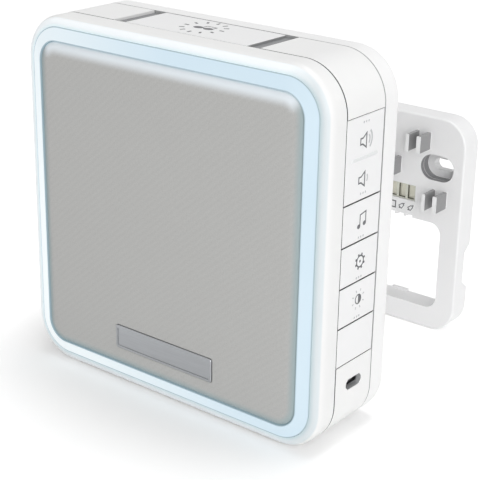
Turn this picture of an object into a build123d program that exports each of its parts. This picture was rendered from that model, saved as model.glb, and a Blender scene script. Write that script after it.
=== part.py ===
from build123d import *
from math import sqrt
import os

os.makedirs("parts", exist_ok=True)

# Doorbell chime box and its wall plate, in millimetres: x to the right, y to the back, z up.
# The origin is in the face that the box stands on, in the middle of its width and half way
# between its two seams.

# The box: a rounded square made of a front bezel, a middle band and a back cover
body_width = 128.0
body_height = 128.0
body_corner_r = 16.0
band_depth = 21.0
bezel_depth = 8.7
cover_depth = 8.8
bezel_edge_r = 3.4
cover_edge_r = 2.5
shell_wall = 2.5
back_skin = 2.0
band_wall = 3.5
tongue_length = 2.3

# Clearances
seam_gap = 0.3
slide_gap = 0.3
fit_gap = 0.1
pivot_gap = 0.05
overrun = 1.0

# The light ring, which slopes forward to the speaker panel
ring_inset = 3.65
ring_width = 4.6
ring_rise = 1.5
ring_thickness = 2.7

# The speaker panel with its soft edge, and the badge let into it
panel_gap = 0.25
panel_rise = 1.9
panel_edge_run = 3.5
panel_edge_drop = 1.0
badge_width = 43.4
badge_height = 8.6
badge_thickness = 1.2
badge_proud = 0.4
badge_drop = body_height / 2 - 19.1
badge_corner_r = 0.8
badge_rim = 0.9
badge_sink = 0.25

# The ledge that the ring rests on, the lamp strips behind it and the carrier
ledge_width = 1.0
ledge_thickness = 1.2
strip_board_thickness = 1.0
carrier_pad_inset = 7.0
carrier_flange = 1.5
lamp_size = 1.6
lamp_height = 0.9
lamps_per_side = 3

# Housing screws in the four corners
corner_screw_inset = 9.8
boss_r = 2.8
boss_pad_r = 4.0
boss_rib = 1.6
boss_length = 6.5
sleeve_r = 3.2
screw_r = 1.2
screw_grip = 8.0
screw_head_r = 2.1
screw_head = 1.8
screw_sink = 5.0

# The key column on the right side: a double rocker, three keys and a blank cell
straight_height = body_height - 2 * body_corner_r
key_pitch_share = 13.7 / 96
key_pitch = straight_height * key_pitch_share
key_column_inset = 0.5
key_column_top = straight_height / 2 - key_column_inset
key_gap = 0.4
key_cap = 1.4
key_edge_r = 0.3
key_travel = 0.5
stem_r = 1.6
rocker_switch_share = 9.5 / 13.7
rocker_switch_offset = key_pitch * rocker_switch_share
rocker_rib_length = 14.2
rocker_rib_width = 1.3
rocker_rib_height = 0.3
rib_taper = 45
rocker_axle_r = 0.6
rocker_axle_inset = 4.0
rocker_ear = 1.2
rocker_ear_offset = 5.6
rocker_ear_height = 2.4
bearing_offset = 7.2
bearing_wall = 1.2
bearing_height = 3.6

# The board behind the keys, its switches and their screws
side_board_gap = 2.3
board_thickness = 1.2
side_board_width = 14.0
side_board_overhang = 3.0
side_board_half_height = straight_height / 2 + side_board_overhang
switch_size = 5.0
switch_height = 1.5
plunger_r = 0.9
plunger_length = 1.0
post_r = 1.6
small_screw_r = 0.55
small_head_r = 1.3
small_head = 0.9
small_grip = 1.8

# The micro-USB inlet under the keys
usb_drop_share = 42.9 / 48
usb_drop = straight_height / 2 * usb_drop_share
usb_shift = 0.25
usb_hole_width = 8.7
usb_hole_height = 3.8
usb_hole_chamfer = 1.2
usb_shell_width = 7.5
usb_shell_height = 2.6
usb_shell_length = 4.4
usb_shell_wall = 0.3
usb_tongue_width = 3.8
usb_tongue_height = 0.6

# The top key between two dark strips
strip_offset = 25.55
strip_width = 5.2
strip_groove = 1.4
strip_thickness = 0.6
top_board_length = 28.0
top_board_width = 13.0
top_post_length = 3.9
top_post_offset = 10.5
top_guide_offset = 19.0

# The speaker
speaker_rise = 6.0
speaker_size = 57.0
speaker_corner_r = 6.0
speaker_hole_inset = 4.1
speaker_hole_offset = speaker_size / 2 - speaker_hole_inset
speaker_flange = 1.0
gasket_thickness = 0.8
speaker_rim = 3.0
sound_hole_r = speaker_size / 2 - speaker_rim
basket_wall = 1.0
basket_r = sound_hole_r + basket_wall
basket_depth = 7.5
magnet_r_share = 12.0 / 57
magnet_r = speaker_size * magnet_r_share
magnet_depth = 5.6
surround_gap = 0.2
surround_width = 3.3
surround_r = sound_hole_r - surround_gap
cone_r = surround_r - surround_width
cone_wall = 0.6
cone_depth = 4.6
cone_neck_r = 7.0
dust_cap_r = 8.0
dust_cap_height = 2.4
surround_wall = 0.4
surround_roll = 1.0

# The wall plate, and how far behind the box it stands
plate_side_room = 15.0
plate_top_room = 43.0
plate_width = body_width - 2 * plate_side_room
plate_height = body_height - plate_top_room
plate_depth = 9.3
plate_corner_r = 10.3
plate_skin = 2.2
plate_wall = 2.0
plate_edge_r = 0.8
plate_travel = 81.6
plate_rise = 6.0
plate_clear = 0.4
tub_wall = 1.2
floor_gap = 0.3

# The plate's guide lugs: pairs of upright fins, each lug at a place beside the screw slot
lug_width = 6.3
lug_height = 6.6
lug_depth = 7.7
lug_inner_fin = 1.3
lug_outer_fin = 1.7
lug_edge_r = 0.3
slot_side_inset = 11.4
slot_top_inset = 19.4
slot_offset = plate_width / 2 - slot_side_inset
slot_rise = plate_height / 2 - slot_top_inset
slot_length = 8.7
slot_width = 4.5
slot_sink_length = 14.2
slot_sink_width = 10.0
slot_sink_depth = 5.5
slot_boss_wall = 1.6
lug_place_shares = [(0.824, 1.52), (1.05, -1.77)]
inner_lug_share = -0.24
inner_lug_room = 6.89

# The terminal strip's middle line, under the slots, and the plate's wire window below it
pole_drop = 12.1
pole_rise = slot_rise - pole_drop
window_side_inset = 8.1
window_low_inset = 8.6
window_pole_gap = 9.9
window_width = plate_width - 2 * window_side_inset
window_top = pole_rise - window_pole_gap
window_height = window_top + plate_height / 2 - window_low_inset
window_drop = window_height / 2 - window_top
window_corner_share = 4.5 / 35
window_corner_r = window_height * window_corner_share
window_wall = 1.8

# The cable notches in the plate's side walls, and a small tab
notch_depth = 3.6
notch_length = 18.0
notch_slope = 3.0
notch_drop = 15.9
tab_width = 7.0
tab_height = 1.0
tab_thickness = 1.2
tab_offset = 20.0

# The terminal strip in the plate and the spring pins of the box that meet it
pole_pitch = 3.96
pole_count = 4
pole_side_inset = 10.8
pole_start = slot_offset - pole_side_inset
terminal_height = 6.3
terminal_margin = 0.4
terminal_body_depth = 6.4
terminal_face_sink = 0.6
cell_width = 3.0
cell_height = 5.4
cell_depth = 2.4
blade_sink = 0.9
wire_slot_width = 2.9
wire_slot_height = 1.0
wire_hole_r = 1.1
pin_r = 0.5
pin_gap = 0.3
pin_tail = 0.6
pin_holder_height = 5.4

# The main board in front of the plate's recess
board_side_room = 14.0
board_pin_room = 5.5
main_board_lift = 6.0
main_board_width = body_width - 2 * board_side_room
main_board_height = plate_height / 2 + plate_rise + pole_rise - board_pin_room - main_board_lift
main_board_stand = 4.0
main_board_thickness = 1.6
board_ear_width = 19.0
board_post_inset = 5.5
board_post_r = 2.5
board_screw_r = 0.9
board_head_r = 1.9
board_head = 1.2
shield_width = 20.0
shield_height = 16.0
shield_depth = 2.4
shield_wall = 0.3
chip_size = 7.0
chip_depth = 1.0
can_r = 2.5
can_depth = 5.0

# Four small cells in two rows, above the plate's recess
cell_r = 5.25
cell_side_room = 19.5
cell_length = body_width / 2 - cell_side_room
cell_nub_r = 1.9
cell_nub = 1.2
cell_gap = 0.3
contact_space = 2.5
contact_thickness = 0.4
contact_size = 8.0
contact_bump_r = 2.4
bay_floor_wall = 2.0
bay_wall = 1.2
bay_lip = 0.6
latch_space = 1.8
latch_width = 12.0
latch_thickness = 1.0
latch_length = 3.6
grip_width = 14.0
grip_height = 3.0
grip_depth = 0.8

# Depths and heights that follow from the sizes above
half_width = body_width / 2
half_height = body_height / 2
front_seam = -band_depth / 2
back_seam = band_depth / 2
band_front = front_seam + seam_gap
band_back = back_seam - seam_gap
ring_plane = front_seam - bezel_depth
back_plane = back_seam + cover_depth
seat_plane = ring_plane + ring_thickness
ledge_rear = seat_plane + ledge_thickness
strip_rear = ledge_rear + strip_board_thickness
flange_rear = strip_rear + carrier_flange
boss_rear = front_seam + boss_length
ledge_inset = ring_inset + ledge_width
panel_inset = ring_inset + ring_width + panel_gap
panel_front = ring_plane - panel_rise
lamp_inset = (ledge_inset + carrier_pad_inset) / 2
board_inset = shell_wall + slide_gap
key_channel = key_cap + key_travel + key_gap
plunger_stand = key_travel + fit_gap
column_height = 6 * key_pitch
key_depth = band_depth - 2 * key_gap
side_board_front = half_width - band_wall - side_board_gap
side_board_rear = side_board_front - board_thickness
stem_end = side_board_front + switch_height + plunger_stand
corner_x = half_width - corner_screw_inset
corner_z = half_height - corner_screw_inset
post_hole_r = small_screw_r + pivot_gap

# The recess in the back cover. The plate climbs a little on its way in from the table.
recess_floor = back_plane - plate_depth - floor_gap
tub_front = recess_floor - tub_wall
recess_climb = plate_rise * (plate_depth + floor_gap) / plate_travel
lug_climb = plate_rise * lug_depth / plate_travel
recess_low = plate_rise - slide_gap - recess_climb
recess_high = plate_rise + plate_height + plate_clear
recess_width = plate_width + 2 * plate_clear
plate_back = back_plane + plate_travel
plate_front = plate_back - plate_depth
plate_mid = plate_height / 2
dock_mid = plate_mid + plate_rise
skin_rear = plate_front + plate_skin
lug_places = [
    (side * across_share * slot_offset, slot_rise + up_share * lug_height)
    for across_share, up_share in lug_place_shares
    for side in (1, -1)
]
inner_lug_height = slot_rise + inner_lug_share * lug_height
lug_places += [(side * (magnet_r + inner_lug_room), inner_lug_height) for side in (1, -1)]
terminal_width = pole_count * pole_pitch
terminal_mid = pole_start - (pole_count - 1) * pole_pitch / 2
pole_places = [pole_start - i * pole_pitch for i in range(pole_count)]
pole_spots = [(x, pole_rise) for x in pole_places]
terminal_low = window_top + window_wall
terminal_high = pole_rise + terminal_height / 2 + terminal_margin
blade_front = plate_front + terminal_face_sink + blade_sink

# The battery bay, its rows and its door
bay_low = recess_high + bay_floor_wall
bay_high = bay_low + 4 * cell_r + 3 * cell_gap + latch_space
bay_half = cell_length + cell_gap / 2 + contact_space
bay_floor = back_plane - back_skin - cell_gap - 2 * cell_r - cell_gap
bay_mid = (bay_low + bay_high) / 2
row_heights = [bay_low + cell_gap + cell_r + row * (2 * cell_r + cell_gap) for row in range(2)]
row_depth = bay_floor + cell_gap + cell_r
door_inner = back_plane - back_skin


def facing(y, z=half_height):
    """Plane at depth y seen from the front, with its own origin at height z."""
    return Plane(origin=(0, y, z), x_dir=(1, 0, 0), z_dir=(0, -1, 0))


def side_on(x):
    """Plane at x seen from the right: its x runs to the back and its y runs up."""
    return Plane(origin=(x, 0, half_height), x_dir=(0, 1, 0), z_dir=(1, 0, 0))


def around_speaker():
    """Level plane through the speaker's axis, for profiles that turn about it."""
    return Plane.XY.offset(half_height + speaker_rise)


speaker_axis = Axis((0, 0, half_height + speaker_rise), (0, 1, 0))


def box_face(inset, depth):
    """The box's outline as a face at a depth, drawn in by inset."""
    with BuildSketch(facing(depth)) as outline:
        RectangleRounded(body_width - 2 * inset, body_height - 2 * inset, body_corner_r - inset)
    return outline.sketch.face()


def slab(inset, rear, front, mode=Mode.ADD):
    """The box's outline, drawn in by inset, from the depth rear to the depth front."""
    extrude(box_face(inset, rear), amount=rear - front, mode=mode)


def prism(sketch_plane, width, height, length, at=(0, 0), mode=Mode.ADD, corner_r=0):
    """A block of width by height on a plane, as long as length along its normal."""
    with BuildSketch(sketch_plane) as outline:
        with Locations(at):
            if corner_r:
                RectangleRounded(width, height, corner_r)
            else:
                Rectangle(width, height)
    extrude(outline.sketch, amount=length, mode=mode)


def rod(sketch_plane, radius, length, places, mode=Mode.ADD):
    """Round posts or holes at places on a plane, as long as length along its normal."""
    with BuildSketch(sketch_plane) as outline:
        with Locations(*places):
            Circle(radius)
    extrude(outline.sketch, amount=length, mode=mode)


def corner_shapes(radius, width, reach):
    """In a sketch: a disc at each corner screw and an arm from it out to the corner."""
    for side, up in ((1, 1), (1, -1), (-1, 1), (-1, -1)):
        turn = {(1, 1): 45, (-1, 1): 135, (-1, -1): 225, (1, -1): 315}[(side, up)]
        with Locations(Location((side * corner_x, up * corner_z, 0), (0, 0, turn))):
            Circle(radius)
            Rectangle(reach, width, align=(Align.MIN, Align.CENTER))


corner_places = [(side * corner_x, up * corner_z) for side in (1, -1) for up in (1, -1)]
corner_reach = body_corner_r - shell_wall - sqrt(2) * (body_corner_r - corner_screw_inset)


def notch_corners(rear, front):
    """Room for the bezel's four screw bosses in a piece behind the ledge."""
    with BuildSketch(facing(rear)) as outline:
        corner_shapes(boss_pad_r + slide_gap, 2 * (boss_pad_r + slide_gap), body_corner_r)
    extrude(outline.sketch, amount=rear - front, mode=Mode.SUBTRACT)


# Front bezel: a frame with a rounded front edge, a ledge for the ring and four screw bosses
with BuildPart() as front_bezel:
    slab(0, front_seam, ring_plane)
    fillet(front_bezel.faces().sort_by(Axis.Y)[0].edges(), radius=bezel_edge_r)
    slab(shell_wall, front_seam + overrun, ledge_rear, mode=Mode.SUBTRACT)
    slab(ledge_inset, ledge_rear + overrun, ring_plane - overrun, mode=Mode.SUBTRACT)
    slab(ring_inset - fit_gap, seat_plane, ring_plane - overrun, mode=Mode.SUBTRACT)
    with BuildSketch(facing(ledge_rear)) as pads:
        corner_shapes(boss_pad_r, 2 * boss_pad_r, corner_reach)
    extrude(pads.sketch, amount=ledge_thickness)
    with BuildSketch(facing(flange_rear - slide_gap)) as ribs:
        corner_shapes(boss_r, boss_rib, corner_reach)
    extrude(ribs.sketch, amount=flange_rear - slide_gap - ledge_rear)
    rod(facing(boss_rear), boss_r, boss_rear - ledge_rear, corner_places)
    rod(facing(boss_rear), screw_r + pivot_gap, screw_grip + slide_gap, corner_places, Mode.SUBTRACT)

# Light ring: its face slopes forward from the outer line to the inner line
with BuildPart() as light_ring:
    slab(ring_inset, seat_plane, ring_plane)
    inner_inset = ring_inset + ring_width
    loft([box_face(ring_inset, ring_plane), box_face(inner_inset, ring_plane - ring_rise)], ruled=True)
    slab(inner_inset, seat_plane + overrun, ring_plane - ring_rise - overrun, mode=Mode.SUBTRACT)

# Speaker panel: a flat face that falls away softly to its edge, with a recess for the badge
with BuildPart() as grille_panel:
    slab(panel_inset, seat_plane, panel_front + panel_edge_drop)
    edge_inset = panel_inset + panel_edge_run
    loft(
        [box_face(panel_inset, panel_front + panel_edge_drop), box_face(edge_inset, panel_front)],
        ruled=True,
    )
    prism(
        facing(panel_front + badge_thickness - badge_proud),
        badge_width + 2 * fit_gap,
        badge_height + 2 * fit_gap,
        badge_thickness,
        (0, -badge_drop),
        Mode.SUBTRACT,
        badge_corner_r + fit_gap,
    )

# Badge: a bare metal plate with a raised rim
with BuildPart() as badge_plate:
    badge_back = panel_front + badge_thickness - badge_proud
    prism(
        facing(badge_back),
        badge_width,
        badge_height,
        badge_thickness,
        (0, -badge_drop),
        Mode.ADD,
        badge_corner_r,
    )
    chamfer(badge_plate.faces().sort_by(Axis.Y)[0].edges(), length=badge_sink)
    prism(
        facing(panel_front - badge_proud + badge_sink),
        badge_width - 2 * badge_rim,
        badge_height - 2 * badge_rim,
        badge_sink,
        (0, -badge_drop),
        Mode.SUBTRACT,
        badge_corner_r / 2,
    )

# Grille carrier: a pad that backs the panel and the ring, and a flange that clamps the lamp strips
with BuildPart() as grille_carrier:
    slab(board_inset, flange_rear, strip_rear)
    slab(carrier_pad_inset, strip_rear, seat_plane)
    notch_corners(flange_rear + overrun, seat_plane - overrun)
    rod(
        facing(flange_rear + overrun, half_height + speaker_rise),
        sound_hole_r,
        bezel_depth,
        [(0, 0)],
        Mode.SUBTRACT,
    )
    speaker_holes = [
        (side * speaker_hole_offset, up * speaker_hole_offset)
        for side in (1, -1)
        for up in (1, -1)
    ]
    rod(
        facing(flange_rear, half_height + speaker_rise),
        post_hole_r,
        small_grip + slide_gap,
        speaker_holes,
        Mode.SUBTRACT,
    )

# Lamp strips: four narrow boards behind the ring, one on each side
with BuildPart() as lamp_boards:
    slab(board_inset, strip_rear, ledge_rear)
    slab(carrier_pad_inset - slide_gap, strip_rear + overrun, ledge_rear - overrun, mode=Mode.SUBTRACT)
    notch_corners(strip_rear + overrun, ledge_rear - overrun)

# Lamps: a row on the front of each strip
with BuildPart() as lamps:
    lamp_step = 2 * corner_x / (lamps_per_side + 1)
    lamp_row = [(i - (lamps_per_side - 1) / 2) * lamp_step for i in range(lamps_per_side)]
    with BuildSketch(facing(ledge_rear)) as lamp_outline:
        for step in lamp_row:
            for side in (1, -1):
                with Locations(
                    (side * (half_width - lamp_inset), step),
                    (step, side * (half_height - lamp_inset)),
                ):
                    Rectangle(lamp_size, lamp_size)
    extrude(lamp_outline.sketch, amount=lamp_height)

# Middle band: a closed rounded frame with tongues to both shells, key channels and windows
column_mid = key_column_top - column_height / 2
rocker_mid = key_column_top - key_pitch
key_mids = [key_column_top - (2.5 + i) * key_pitch for i in range(4)]
axle_x = half_width - rocker_axle_inset
side_posts = [
    (0, side_board_half_height - post_r - slide_gap),
    (0, key_mids[3]),
    (0, post_r + slide_gap - side_board_half_height),
]
with BuildPart() as middle_band:
    slab(0, band_back, band_front)
    slab(shell_wall + fit_gap, back_seam + tongue_length, flange_rear)
    slab(band_wall, back_plane, ring_plane, mode=Mode.SUBTRACT)
    prism(
        side_on(half_width - key_channel),
        2 * band_depth,
        column_height,
        shell_wall + overrun,
        (0, column_mid),
        Mode.SUBTRACT,
    )
    with BuildSketch(Plane.XY.offset(body_height - key_channel)) as top_channel:
        Rectangle(2 * strip_offset, 2 * band_depth)
    extrude(top_channel.sketch, amount=shell_wall + overrun, mode=Mode.SUBTRACT)
    with BuildSketch(Plane.XY.offset(body_height - strip_groove)) as grooves:
        with Locations(*[(side * (strip_offset + strip_width / 2), 0) for side in (1, -1)]):
            Rectangle(strip_width, 2 * band_depth)
    extrude(grooves.sketch, amount=shell_wall + overrun, mode=Mode.SUBTRACT)
    # Windows for the key stems and the rocker's nubs
    inner_face = half_width - band_wall
    stem_places = [(0, z) for z in key_mids[:3]]
    nub_places = [(0, rocker_mid + side * rocker_switch_offset) for side in (1, -1)]
    rod(
        side_on(inner_face - overrun),
        stem_r + slide_gap,
        band_wall + overrun,
        stem_places + nub_places,
        Mode.SUBTRACT,
    )
    # Windows for the rocker's ears, and bearings for its axle
    for side in (1, -1):
        prism(
            side_on(inner_face - overrun),
            rocker_ear + 2 * slide_gap,
            rocker_ear_height + 2 * slide_gap,
            band_wall + overrun,
            (side * rocker_ear_offset, rocker_mid),
            Mode.SUBTRACT,
        )
        prism(
            side_on(axle_x - bearing_wall),
            bearing_wall,
            bearing_height,
            band_wall - key_channel + bearing_wall,
            (side * bearing_offset, rocker_mid),
        )
    with BuildSketch(Plane.XZ.offset(-bearing_offset - bearing_wall)) as axle_hole:
        with Locations((axle_x, half_height + rocker_mid)):
            Circle(rocker_axle_r + pivot_gap)
    extrude(axle_hole.sketch, amount=2 * (bearing_offset + bearing_wall), mode=Mode.SUBTRACT)
    # The hole of the USB inlet, with two cut corners below
    with BuildSketch(side_on(inner_face - overrun)) as usb_hole:
        with Locations((usb_shift, -usb_drop)):
            Rectangle(usb_hole_width, usb_hole_height)
        chamfer(usb_hole.vertices().group_by(Axis.Z)[0], length=usb_hole_chamfer)
        fillet(usb_hole.vertices().group_by(Axis.Z)[-1], radius=usb_hole_chamfer / 2)
    extrude(usb_hole.sketch, amount=band_wall + 2 * overrun, mode=Mode.SUBTRACT)
    # Posts for the side board, and posts and windows for the top board and its key
    rod(side_on(side_board_front), post_r, side_board_gap, side_posts)
    rod(
        side_on(side_board_front - overrun),
        post_hole_r,
        overrun + small_grip + slide_gap,
        side_posts,
        Mode.SUBTRACT,
    )
    top_inner = body_height - band_wall
    top_posts = [(side * top_post_offset, 0) for side in (1, -1)]
    top_guides = [(side * top_guide_offset, 0) for side in (1, -1)]
    rod(Plane.XY.offset(top_inner - top_post_length), post_r, top_post_length, top_posts)
    rod(
        Plane.XY.offset(top_inner - top_post_length - overrun),
        post_hole_r,
        overrun + small_grip + slide_gap,
        top_posts,
        Mode.SUBTRACT,
    )
    rod(
        Plane.XY.offset(top_inner - overrun),
        stem_r + slide_gap,
        band_wall + overrun,
        [(0, 0)] + top_guides,
        Mode.SUBTRACT,
    )

# Dark strips on the floors of the two grooves on the top
with BuildPart() as strip_inserts:
    with BuildSketch(Plane.XY.offset(body_height - strip_groove)) as strips:
        for side in (1, -1):
            with Locations((side * (strip_offset + strip_width / 2), 0)):
                Rectangle(strip_width - 2 * key_gap, band_depth - 2 * key_gap)
    extrude(strips.sketch, amount=strip_thickness)


def key_piece(middle, cells):
    """Cap of a side key that covers some cells, with eased outer edges."""
    prism(side_on(half_width - key_cap), key_depth, cells * key_pitch - key_gap, key_cap, (0, middle))


def ease_outer(faces, axis):
    """Round the outer edges of a key's cap."""
    fillet(faces.sort_by(axis)[-1].edges(), radius=key_edge_r)


# Single keys: a cap with a stem that reaches its switch plunger
def single_key(middle):
    key_piece(middle, 1)
    rod(side_on(stem_end), stem_r, half_width - key_cap - stem_end, [(0, middle)])


def plunger(sketch_plane, place):
    """A switch plunger, part of it inside its switch."""
    rod(sketch_plane, plunger_r, plunger_length, [place])


plunger_plane = side_on(stem_end - plunger_length)

with BuildPart() as melody_key:
    single_key(key_mids[0])
    ease_outer(melody_key.faces(), Axis.X)
with BuildPart() as melody_plunger:
    plunger(plunger_plane, (0, key_mids[0]))

with BuildPart() as settings_key:
    single_key(key_mids[1])
    ease_outer(settings_key.faces(), Axis.X)
with BuildPart() as settings_plunger:
    plunger(plunger_plane, (0, key_mids[1]))

with BuildPart() as brightness_key:
    single_key(key_mids[2])
    ease_outer(brightness_key.faces(), Axis.X)
with BuildPart() as brightness_plunger:
    plunger(plunger_plane, (0, key_mids[2]))

# Blank cell: a fixed filler that is as thick as the channel is deep
with BuildPart() as blank_panel:
    prism(side_on(half_width - key_channel), key_depth, key_pitch - key_gap, key_channel, (0, key_mids[3]))
    ease_outer(blank_panel.faces(), Axis.X)

# Volume rocker: a double cap on an axle, with a nub over each of its two switches
nub_end = stem_end + slide_gap
with BuildPart() as volume_rocker:
    key_piece(rocker_mid, 2)
    ease_outer(volume_rocker.faces(), Axis.X)
    rod(side_on(nub_end), stem_r, half_width - key_cap - nub_end, nub_places)
    for side in (1, -1):
        with BuildSketch(Plane.XZ.offset(side * rocker_ear_offset - rocker_ear / 2)) as ear:
            with Locations((axle_x, half_height + rocker_mid)):
                Circle(rocker_ear_height / 2)
                Rectangle(rocker_axle_inset - key_cap, rocker_ear_height, align=(Align.MIN, Align.CENTER))
        extrude(ear.sketch, amount=rocker_ear)
    # A low rounded rib between the two ends of the rocker
    with BuildSketch(side_on(half_width)) as rib:
        with Locations((0, rocker_mid)):
            SlotOverall(rocker_rib_length, rocker_rib_width)
    extrude(rib.sketch, amount=rocker_rib_height, taper=rib_taper)
    with BuildSketch(Plane.XZ.offset(-bearing_offset)) as ear_bore:
        with Locations((axle_x, half_height + rocker_mid)):
            Circle(rocker_axle_r + pivot_gap)
    extrude(ear_bore.sketch, amount=2 * bearing_offset, mode=Mode.SUBTRACT)

with BuildPart() as rocker_axle:
    axle_half = bearing_offset + bearing_wall / 2
    with BuildSketch(Plane.XZ.offset(-axle_half)) as axle_profile:
        with Locations((axle_x, half_height + rocker_mid)):
            Circle(rocker_axle_r)
    extrude(axle_profile.sketch, amount=2 * axle_half)

# The two plungers under the rocker stay put: the nubs stop just short of them
with BuildPart() as rocker_plungers:
    rocker_plunger_end = stem_end - slide_gap
    rod(side_on(rocker_plunger_end - plunger_length), plunger_r, plunger_length, nub_places)

# Side board with its switches, screws and USB inlet
with BuildPart() as side_board:
    prism(side_on(side_board_rear), side_board_width, 2 * side_board_half_height, board_thickness)
    rod(
        side_on(side_board_rear - overrun),
        small_screw_r + fit_gap,
        2 * overrun + board_thickness,
        side_posts,
        Mode.SUBTRACT,
    )

with BuildPart() as key_switches:
    switch_places = stem_places + nub_places
    for place in switch_places:
        prism(side_on(side_board_front), switch_size, switch_size, switch_height, place)
    rod(
        side_on(side_board_front + board_thickness / 4),
        plunger_r + fit_gap,
        switch_height,
        switch_places,
        Mode.SUBTRACT,
    )

with BuildPart() as side_board_screws:
    rod(side_on(side_board_rear - small_head), small_head_r, small_head, side_posts)
    rod(side_on(side_board_rear), small_screw_r, board_thickness + small_grip, side_posts)

with BuildPart() as usb_shell:
    with BuildSketch(side_on(side_board_front)) as usb_outer:
        with Locations((usb_shift, -usb_drop)):
            Rectangle(usb_shell_width, usb_shell_height)
        chamfer(usb_outer.vertices().group_by(Axis.Z)[0], length=usb_hole_chamfer / 2)
    extrude(usb_outer.sketch, amount=usb_shell_length)
    with BuildSketch(side_on(side_board_front + usb_shell_wall)) as usb_inner:
        with Locations((usb_shift, -usb_drop)):
            Rectangle(usb_shell_width - 2 * usb_shell_wall, usb_shell_height - 2 * usb_shell_wall)
        chamfer(usb_inner.vertices().group_by(Axis.Z)[0], length=usb_hole_chamfer / 2)
    extrude(usb_inner.sketch, amount=usb_shell_length, mode=Mode.SUBTRACT)

with BuildPart() as usb_tongue:
    prism(
        side_on(side_board_front + usb_shell_wall),
        usb_tongue_width,
        usb_tongue_height,
        usb_shell_length - 2 * usb_shell_wall,
        (usb_shift, -usb_drop),
    )

# Top key between the strips, with one stem over its switch and two guides
top_switch_face = top_inner - top_post_length
top_stem_end = top_switch_face + switch_height + plunger_stand
with BuildPart() as top_key:
    with BuildSketch(Plane.XY.offset(body_height - key_cap)) as top_cap:
        Rectangle(2 * (strip_offset - key_gap / 2), key_depth)
    extrude(top_cap.sketch, amount=key_cap)
    ease_outer(top_key.faces(), Axis.Z)
    rod(Plane.XY.offset(top_stem_end), stem_r, body_height - key_cap - top_stem_end, [(0, 0)])
    rod(Plane.XY.offset(top_inner), stem_r, band_wall - key_cap, top_guides)
with BuildPart() as top_plunger:
    plunger(Plane.XY.offset(top_stem_end - plunger_length), (0, 0))

with BuildPart() as top_board:
    with BuildSketch(Plane.XY.offset(top_switch_face - board_thickness)) as top_board_outline:
        Rectangle(top_board_length, top_board_width)
        with Locations(*top_posts):
            Circle(small_screw_r + fit_gap, mode=Mode.SUBTRACT)
    extrude(top_board_outline.sketch, amount=board_thickness)

with BuildPart() as top_switch:
    with BuildSketch(Plane.XY.offset(top_switch_face)) as top_switch_outline:
        Rectangle(switch_size, switch_size)
    extrude(top_switch_outline.sketch, amount=switch_height)
    rod(
        Plane.XY.offset(top_switch_face + board_thickness / 4),
        plunger_r + fit_gap,
        switch_height,
        [(0, 0)],
        Mode.SUBTRACT,
    )

with BuildPart() as top_board_screws:
    rod(
        Plane.XY.offset(top_switch_face - board_thickness - small_head),
        small_head_r,
        small_head,
        top_posts,
    )
    rod(
        Plane.XY.offset(top_switch_face - board_thickness),
        small_screw_r,
        board_thickness + small_grip,
        top_posts,
    )

# Speaker: gasket, frame with a basket, magnet and cone, all about one axis
speaker_height = half_height + speaker_rise
gasket_rear = flange_rear + gasket_thickness
speaker_rear = gasket_rear + speaker_flange
basket_rear = speaker_rear + basket_depth
pocket_floor = back_plane - plate_depth - lug_depth - plate_clear
with BuildPart() as speaker_gasket:
    prism(
        facing(gasket_rear, speaker_height),
        speaker_size,
        speaker_size,
        gasket_thickness,
        corner_r=speaker_corner_r,
    )
    rod(
        facing(gasket_rear + overrun, speaker_height),
        sound_hole_r,
        gasket_thickness + 2 * overrun,
        [(0, 0)],
        Mode.SUBTRACT,
    )
    rod(
        facing(gasket_rear + overrun, speaker_height),
        small_screw_r + fit_gap,
        gasket_thickness + 2 * overrun,
        speaker_holes,
        Mode.SUBTRACT,
    )

with BuildPart() as speaker_frame:
    prism(
        facing(speaker_rear, speaker_height),
        speaker_size,
        speaker_size,
        speaker_flange,
        corner_r=speaker_corner_r,
    )
    with BuildSketch(around_speaker()) as basket_profile:
        with BuildLine():
            Polyline(
                (0, speaker_rear),
                (basket_r, speaker_rear),
                (magnet_r + basket_wall, basket_rear),
                (0, basket_rear),
                close=True,
            )
        make_face()
    revolve(basket_profile.sketch, axis=speaker_axis)
    with BuildSketch(around_speaker()) as basket_hollow:
        with BuildLine():
            Polyline(
                (0, gasket_rear - overrun),
                (sound_hole_r, gasket_rear - overrun),
                (sound_hole_r, speaker_rear),
                (magnet_r, basket_rear - basket_wall),
                (0, basket_rear - basket_wall),
                close=True,
            )
        make_face()
    revolve(basket_hollow.sketch, axis=speaker_axis, mode=Mode.SUBTRACT)
    rod(
        facing(speaker_rear + overrun, speaker_height),
        small_screw_r + fit_gap,
        speaker_flange + 2 * overrun,
        speaker_holes,
        Mode.SUBTRACT,
    )
    # Four windows in the basket
    with BuildSketch(facing(basket_rear - 2 * basket_wall, speaker_height)) as basket_windows:
        with PolarLocations((basket_r + magnet_r) / 2, 4):
            RectangleRounded((basket_r - magnet_r) / 2, magnet_r, basket_wall)
    extrude(basket_windows.sketch, amount=basket_depth / 2, mode=Mode.SUBTRACT)

with BuildPart() as speaker_magnet:
    rod(facing(basket_rear + magnet_depth, speaker_height), magnet_r, magnet_depth, [(0, 0)])
    fillet(speaker_magnet.faces().sort_by(Axis.Y)[-1].edges(), radius=basket_wall / 2)

with BuildPart() as speaker_cone:
    cone_front = speaker_rear - speaker_flange / 2
    cone_floor = cone_front + cone_depth
    with BuildSketch(around_speaker()) as cone_profile:
        with BuildLine():
            Polyline((0, cone_floor), (cone_neck_r, cone_floor), (cone_r, cone_front))
            Line((cone_r, cone_front), (cone_r, cone_front - cone_wall))
            Line((cone_r, cone_front - cone_wall), (dust_cap_r, cone_floor - cone_wall))
            TangentArc(
                (0, cone_floor - dust_cap_height),
                (dust_cap_r, cone_floor - cone_wall),
                tangent=(1, 0),
            )
            Line((0, cone_floor - dust_cap_height), (0, cone_floor))
        make_face()
    revolve(cone_profile.sketch, axis=speaker_axis)

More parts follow.
